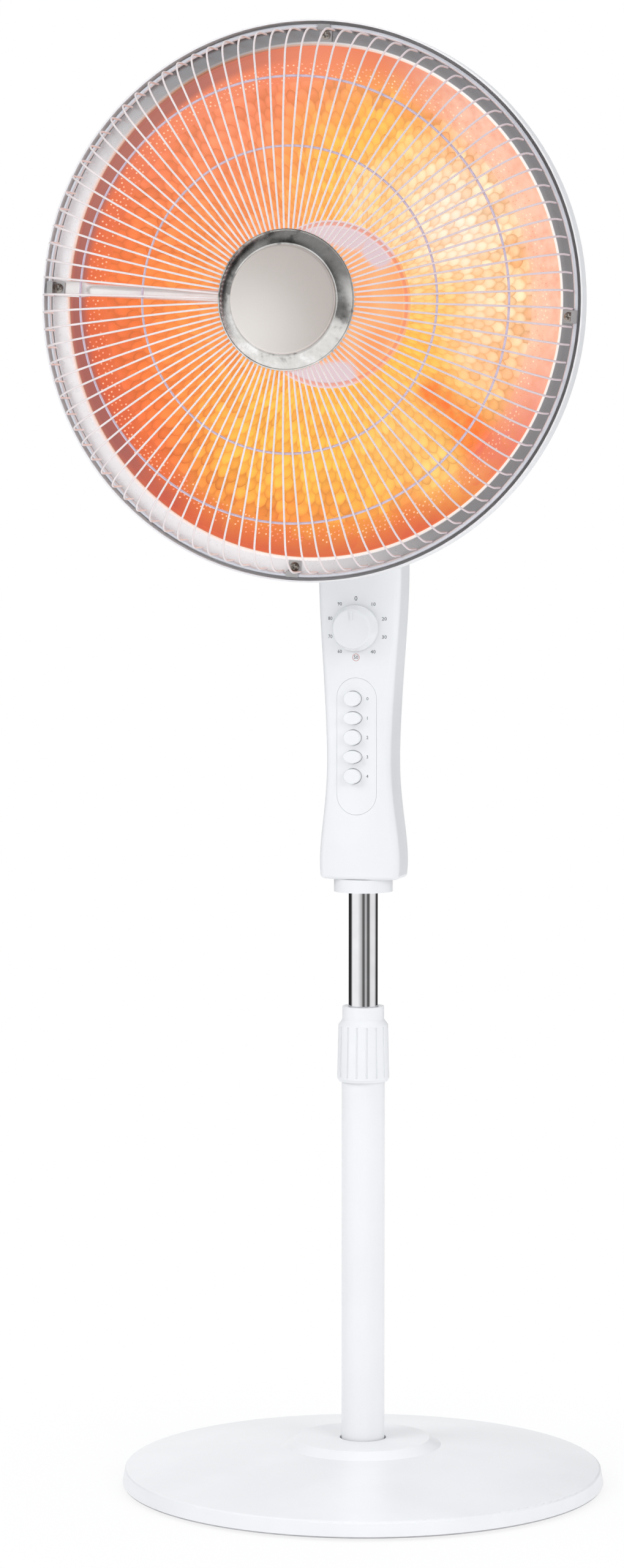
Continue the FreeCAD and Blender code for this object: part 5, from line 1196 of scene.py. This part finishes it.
# The arm from its flattened end to the holder, in millimetres: radius, place ahead, half width and half thickness
ARM_END = (191.48, -4.4, 5.6, 0.6)
ARM_TAB = (172.0, -4.4, 5.6, 0.6)
ARM_ROUND = (156.0, 3.0, 4.6, 4.3)
ARM_INNER = (17.2, 43.65, 4.6, 4.3)
ARM_TURN = math.radians(176.5)
ARM_SWELL_STEPS = 14
ARM_COLUMNS = 40


def arm_stations():
    """The arm's cross sections in order, swelling smoothly from the flat tab into the tube."""
    run = ARM_TAB[0] - ARM_ROUND[0]
    slope = (ARM_INNER[1] - ARM_ROUND[1]) / (ARM_ROUND[0] - ARM_INNER[0]) * run
    stations = [ARM_END]
    for k in range(ARM_SWELL_STEPS + 1):
        share = k / ARM_SWELL_STEPS
        ease = share ** 2 * (3 - 2 * share)
        ahead = ARM_TAB[1] + (ARM_ROUND[1] - ARM_TAB[1]) * ease + slope * share ** 2 * (share - 1)
        wide, thick = (ARM_TAB[n] + (ARM_ROUND[n] - ARM_TAB[n]) * ease for n in (2, 3))
        stations.append((ARM_TAB[0] - run * share, ahead, wide, thick))
    return stations + [ARM_INNER]


def arm_mesh():
    """An oval swept through the arm's cross sections, closed at both ends."""
    stations = arm_stations()
    verts = []
    for k, (radius, ahead, wide, thick) in enumerate(stations):
        before, after = stations[max(k - 1, 0)], stations[min(k + 1, len(stations) - 1)]
        lean = math.atan2(after[1] - before[1], before[0] - after[0])
        for n in range(ARM_COLUMNS):
            angle = FULL_TURN * n / ARM_COLUMNS
            out = radius + thick * math.sin(angle) * math.sin(lean)
            over = wide * math.cos(angle)
            x = out * math.cos(ARM_TURN) - over * math.sin(ARM_TURN)
            z = out * math.sin(ARM_TURN) + over * math.cos(ARM_TURN)
            y = ahead + thick * math.sin(angle) * math.cos(lean)
            verts.append((x * MM, RIM_Y - y * MM, HEAD_Z + z * MM))
    faces = ring_faces(len(stations), ARM_COLUMNS, False)
    faces.append(tuple(range(ARM_COLUMNS)))
    faces.append(tuple(range(len(verts) - ARM_COLUMNS, len(verts))))
    return shell_mesh("arm_tube", verts, faces)


class HEATER_OT_cap(bpy.types.Operator):
    """The guard's centre cap: a polished ring with a rolled edge round a domed satin disc"""
    bl_idname = "heater.cap"
    bl_label = "Centre cap"

    def execute(self, context):
        for name, profile, finish, slot, node in (
                ("cap_cone", cap_cone_profile(), polished_cap(), "chrome", "cap_shell"),
                ("cap_dome", cap_dome_profile(), satin_disc(), "satin_steel", "cap_disc")):
            mesh = turned_mesh(name, [(radius * MM, ahead * MM) for radius, ahead in profile], CAP["columns"])
            smooth(mesh)
            mesh.materials.append(finish.material)
            new_piece(name, mesh, "head", slot, node)
        return {"FINISHED"}


# The cap's section in millimetres: the ring's edge, slope and roof, and the disc on it; then its mesh's fineness
CAP = {"radius": 49.0, "skirt": 58.25, "roll": 0.7, "slope": 39.0, "roof": 66.2, "sheet": 1.0, "bulge": 0.3,
       "disc": 37.7, "disc_top": 69.8, "disc_fall": 0.8, "disc_round": 1.4, "columns": 160, "steps": 10}
# The rolled edge from straight down round to its end, in degrees
ROLL_START, ROLL_SWEEP = -90, 190


def cap_cone_profile():
    """The ring's closed section: a rolled edge, a slightly full slope and the flat under the disc."""
    roll, steps, roof = CAP["roll"], CAP["steps"], CAP["roof"]
    centre = (CAP["radius"] - roll, CAP["skirt"] + roll)
    points = [(centre[0] - roll, CAP["skirt"])]
    for k in range(steps + 1):
        angle = math.radians(ROLL_START + ROLL_SWEEP * k / steps)
        points.append((centre[0] + roll * math.cos(angle), centre[1] + roll * math.sin(angle)))
    start = Vector(points[-1]) - Vector((roll / 3, roll / 2))
    end = Vector((CAP["slope"], roof))
    full = (end - start).orthogonal().normalized()
    full = full if full.x > 0 else -full
    for k in range(steps + 1):
        share = k / steps
        points.append(tuple(start.lerp(end, share) + full * (4 * CAP["bulge"] * share * (1 - share))))
    points += [(0.0, roof), (0.0, roof - CAP["sheet"])]
    points.append((CAP["slope"] - CAP["sheet"] / 2, roof - CAP["sheet"]))
    return points


def cap_dome_profile():
    """The disc's closed section: a shallow dome with a rounded edge."""
    bend, steps = CAP["disc_round"], CAP["steps"]
    edge = CAP["disc"] - bend
    low = CAP["disc_top"] - CAP["disc_fall"]
    points = [(0.0, CAP["roof"]), (CAP["disc"], CAP["roof"])]
    for k in range(steps + 1):
        angle = math.pi / 2 * k / steps
        points.append((edge + bend * math.cos(angle), low - bend * (1 - math.sin(angle))))
    for k in range(1, steps + 1):
        share = 1 - k / steps
        points.append((edge * share, CAP["disc_top"] - CAP["disc_fall"] * share ** 2))
    return points


class HEATER_OT_screws(bpy.types.Operator):
    """The guard clips' pan-head screws, one head with its cross set round the rim"""
    bl_idname = "heater.screws"
    bl_label = "Clip screws"

    def execute(self, context):
        given = settings().screws
        finish = plated("screw_plate", (0.42, 0.41, 0.38), rough=0.22)
        inputs = {"Count": given.count, "Circle": given.circle, "Turn": given.turn, "Seat": given.seat,
                  "Lift": given.lift, "Material": finish.material}
        mesh = run_tree(screw_tree(), screw_mesh(given), "clip_screw_heads", inputs)
        smooth(mesh)
        new_piece("clip_screw_heads", mesh, "head", "steel", "clip_screws")
        return {"FINISHED"}


# A screw's fineness, and its dome and cross as shares of the head's radius and height
SCREW = {"cells": 28, "shank_sides": 20, "dome": 0.55, "cross_long": 0.6, "cross_half": 0.17, "cross_deep": 0.55,
         "cross_fade": 0.75}


def screw_top(given, a, b):
    """A point of the head's top, from a square's point: domed, with the cross pressed in."""
    head, tall = given.head, given.head_height
    x, y = head * a * math.sqrt(1 - b * b / 2), head * b * math.sqrt(1 - a * a / 2)
    z = tall * (1 - SCREW["dome"] * (math.hypot(x, y) / head) ** 2)
    arm, thin = max(abs(x), abs(y)) / head, min(abs(x), abs(y)) / head
    if arm < SCREW["cross_long"] and thin < SCREW["cross_half"]:
        z -= tall * SCREW["cross_deep"] * (1 - arm / SCREW["cross_fade"])
    return x, y, z


def screw_head(given):
    """The head's points and faces in a fixed order: its top, the skirt under the top's edge and the flat seat."""
    cells = SCREW["cells"]
    side = cells + 1
    verts = [screw_top(given, 2 * i / cells - 1, 2 * j / cells - 1) for i in range(side) for j in range(side)]
    faces = []
    for i in range(cells):
        for j in range(cells):
            here, beside = i * side + j, (i + 1) * side + j
            faces.append((here, beside, beside + 1, here + 1))
    edge = [i * side for i in range(cells)] + [cells * side + j for j in range(cells)]
    edge += [i * side + cells for i in range(cells, 0, -1)] + list(range(cells, 0, -1))
    seat = range(len(verts), len(verts) + len(edge))
    verts += [(verts[k][0], verts[k][1], 0.0) for k in edge]
    for k in range(len(edge)):
        faces.append((edge[k - 1], edge[k], seat[k], seat[k - 1]))
    faces.append(tuple(seat))
    return verts, faces


def screw_mesh(given):
    """One screw along Z with its seat at zero: a domed head with a cross pressed in, and its shank."""
    verts, faces = screw_head(given)
    mesh = bpy.data.meshes.new("clip_screw")
    mesh.from_pydata(verts, [], faces)
    work = bmesh.new()
    work.from_mesh(mesh)
    shank = bmesh.ops.create_cone(work, cap_ends=True, segments=SCREW["shank_sides"], radius1=given.shank,
                                  radius2=given.shank, depth=given.length)
    bmesh.ops.translate(work, verts=shank["verts"], vec=(0.0, 0.0, -given.length / 2))
    work.to_mesh(mesh)
    work.free()
    outward(mesh)
    return mesh


def screw_tree():
    """Copies of one screw round the rim; the third stands higher, on the arm's end."""
    web, given = new_tree("clip_screw_ring", Count="Int", Circle="Float", Turn="Float", Seat="Float", Lift="Float",
                          Material="Material")
    ring = web.node("GeometryNodeMeshCircle", {}, {"Vertices": given["Count"], "Radius": given["Circle"]})
    turned = web.node("GeometryNodeTransform", {}, {
        "Geometry": ring, "Rotation": web.node("ShaderNodeCombineXYZ", {}, {2: given["Turn"]})})
    index = web.node("GeometryNodeInputIndex")
    raised = (index > 1.5) * (index < 2.5) * given["Lift"] + given["Seat"]
    seated = web.node("GeometryNodeSetPosition", {}, {
        "Geometry": turned, "Offset": web.node("ShaderNodeCombineXYZ", {}, {2: raised})})
    screws = web.node("GeometryNodeInstanceOnPoints", {}, {"Points": seated, "Instance": given["Geometry"]})
    return close_tree(web, on_dish(web, screws), given["Material"])


class HEATER_OT_element(bpy.types.Operator):
    """The glowing coil on its ceramic core"""
    bl_idname = "heater.element"
    bl_label = "Element"

    def execute(self, context):
        made = Finish("coil_glow", roughness=0.6, emission_strength=1.4)
        heat = made.noise(made.place, scale=90.0)
        made.feed("base color", made.blend(heat, (0.30, 0.10, 0.05), (0.42, 0.16, 0.07)))
        made.feed("emission color", made.blend(heat, (1.0, 0.22, 0.03), (1.0, 0.42, 0.08)))
        made.on("heating_coil")
        return {"FINISHED"}


class HEATER_OT_dial(bpy.types.Operator):
    """Printed numbers round the timer knob and marks beside the buttons"""
    bl_idname = "heater.dial"
    bl_label = "Dial and button marks"

    def execute(self, context):
        grey = printed("print_grey", settings().finish.print_grey)
        red = printed("print_red", settings().finish.print_red)
        numbers = join_marks("dial_numbers", dial_words(), grey)
        new_piece("dial_numbers", numbers, "mast", "white_plastic")
        ring = ring_mark("dial_ring", 0.0, KNOB_Z / MM - DIAL["circle"], red)
        new_piece("dial_ring", ring, "mast", "white_plastic")
        marks = join_marks("button_marks", button_words(), grey)
        new_piece("button_marks", marks, "mast", "white_plastic")
        return {"FINISHED"}


# Printed marks in millimetres: the numbers' circle and heights, the ring round the lowest, the marks by the buttons
DIAL = {"circle": 21.6, "first": 3.5, "height": 2.6, "ring": 2.4, "ring_width": 0.3, "ring_steps": 40,
        "button_across": 8.6, "button_height": 2.4}
DIAL_MARKS, DIAL_STEP = 10, 10
BUTTONS = 5
# A font's size for a height of one, half the ink's thickness, and the radius of the box's crowned front
FONT_SIZE = 1.4
INK = 0.06
CROWN = 60.0


def dial_words():
    """The dial's numbers with their places and heights."""
    words = []
    for k in range(DIAL_MARKS):
        angle = FULL_TURN * k / DIAL_MARKS
        x, z = DIAL["circle"] * math.sin(angle), KNOB_Z / MM + DIAL["circle"] * math.cos(angle)
        words.append((str(DIAL_STEP * k), x, z, DIAL["height"] if k else DIAL["first"]))
    return words


def button_words():
    """A number beside each button."""
    words = []
    for k in range(BUTTONS):
        low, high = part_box("button_%d" % (k + 1))
        words.append((str(k), DIAL["button_across"], (low.z + high.z) / 2 / MM, DIAL["button_height"]))
    return words


def printed(name, colour):
    """Pad-printed ink, a little uneven."""
    made = Finish(name, roughness=0.5)
    patch = made.noise(made.place, scale=900.0)
    made.feed("base color", made.blend(made.spread(patch, 0.2, 0.6), faded(colour, 1.15), colour))
    return made.material


def on_front(x, z, proud):
    """A point on the box's crowned front, in metres, from millimetres across and up."""
    return Vector((x * MM, BOX_FRONT_Y + (CROWN - math.sqrt(CROWN ** 2 - x ** 2) - proud) * MM, z * MM))


def join_marks(name, words, material):
    """Numbers wrapped on the box's front, as one mesh; each word has its place and height."""
    joined = bmesh.new()
    for body, x, z, height in words:
        text = bpy.data.curves.new(name, "FONT")
        text.body = body
        text.size = height * FONT_SIZE
        text.align_x = "CENTER"
        text.align_y = "CENTER"
        text.extrude = INK
        text.resolution_u = 2
        host = bpy.data.objects.new(name, text)
        bpy.context.scene.collection.objects.link(host)
        part = plain_mesh(host, name)
        for vert in part.vertices:
            vert.co = on_front(x + vert.co.x, z + vert.co.y, vert.co.z)
        joined.from_mesh(part)
        bpy.data.meshes.remove(part)
    mesh = bpy.data.meshes.new(name)
    joined.to_mesh(mesh)
    joined.free()
    mesh.materials.clear()
    mesh.materials.append(material)
    outward(mesh)
    return mesh


def ring_mark(name, x, z, material):
    """A thin printed ring on the box's front."""
    steps, inner = DIAL["ring_steps"], DIAL["ring"]
    outer = inner + DIAL["ring_width"]
    verts = []
    for k in range(steps):
        angle = FULL_TURN * k / steps
        for reach, proud in ((inner, -INK), (inner, INK), (outer, INK), (outer, -INK)):
            verts.append(on_front(x + reach * math.cos(angle), z + reach * math.sin(angle), proud))
    mesh = shell_mesh(name, verts, ring_faces(steps, 4, True))
    mesh.materials.append(material)
    return mesh


class HEATER_PT_panel(bpy.types.Panel):
    """The heater's steps and settings"""
    bl_idname = "HEATER_PT_panel"
    bl_label = "Parabolic heater"
    bl_space_type = "VIEW_3D"
    bl_region_type = "UI"
    bl_category = "Heater"

    def draw(self, context):
        for step in STEPS:
            self.layout.operator(step.bl_idname)
        for group in ("stage", "finish", "reflector", "glow", "guard", "screws"):
            given = getattr(context.scene.heater, group)
            box = self.layout.box()
            for key in given.__annotations__:
                box.prop(given, key)


STEPS = (HEATER_OT_stage, HEATER_OT_mouldings, HEATER_OT_metals, HEATER_OT_reflector, HEATER_OT_guard,
         HEATER_OT_arm, HEATER_OT_cap, HEATER_OT_screws, HEATER_OT_element, HEATER_OT_dial)
CLASSES = (HeaterStageSettings, HeaterFinishSettings, HeaterReflectorSettings, HeaterGlowSettings,
           HeaterGuardSettings, HeaterScrewSettings, HeaterSettings, *STEPS, HEATER_PT_panel)


def register():
    """Adds the classes and the scene's settings."""
    for each in CLASSES:
        bpy.utils.register_class(each)
    bpy.types.Scene.heater = PointerProperty(name="Heater", description="All of the heater's settings",
                                             type=HeaterSettings)


def unregister():
    """Takes the settings and the classes away."""
    del bpy.types.Scene.heater
    for each in reversed(CLASSES):
        bpy.utils.unregister_class(each)


def main():
    """Runs every step in order."""
    register()
    bpy.ops.heater.stage()
    bpy.ops.heater.mouldings()
    bpy.ops.heater.metals()
    bpy.ops.heater.reflector()
    bpy.ops.heater.guard()
    bpy.ops.heater.arm()
    bpy.ops.heater.cap()
    bpy.ops.heater.screws()
    bpy.ops.heater.element()
    bpy.ops.heater.dial()


if __name__ == "__main__":
    main()
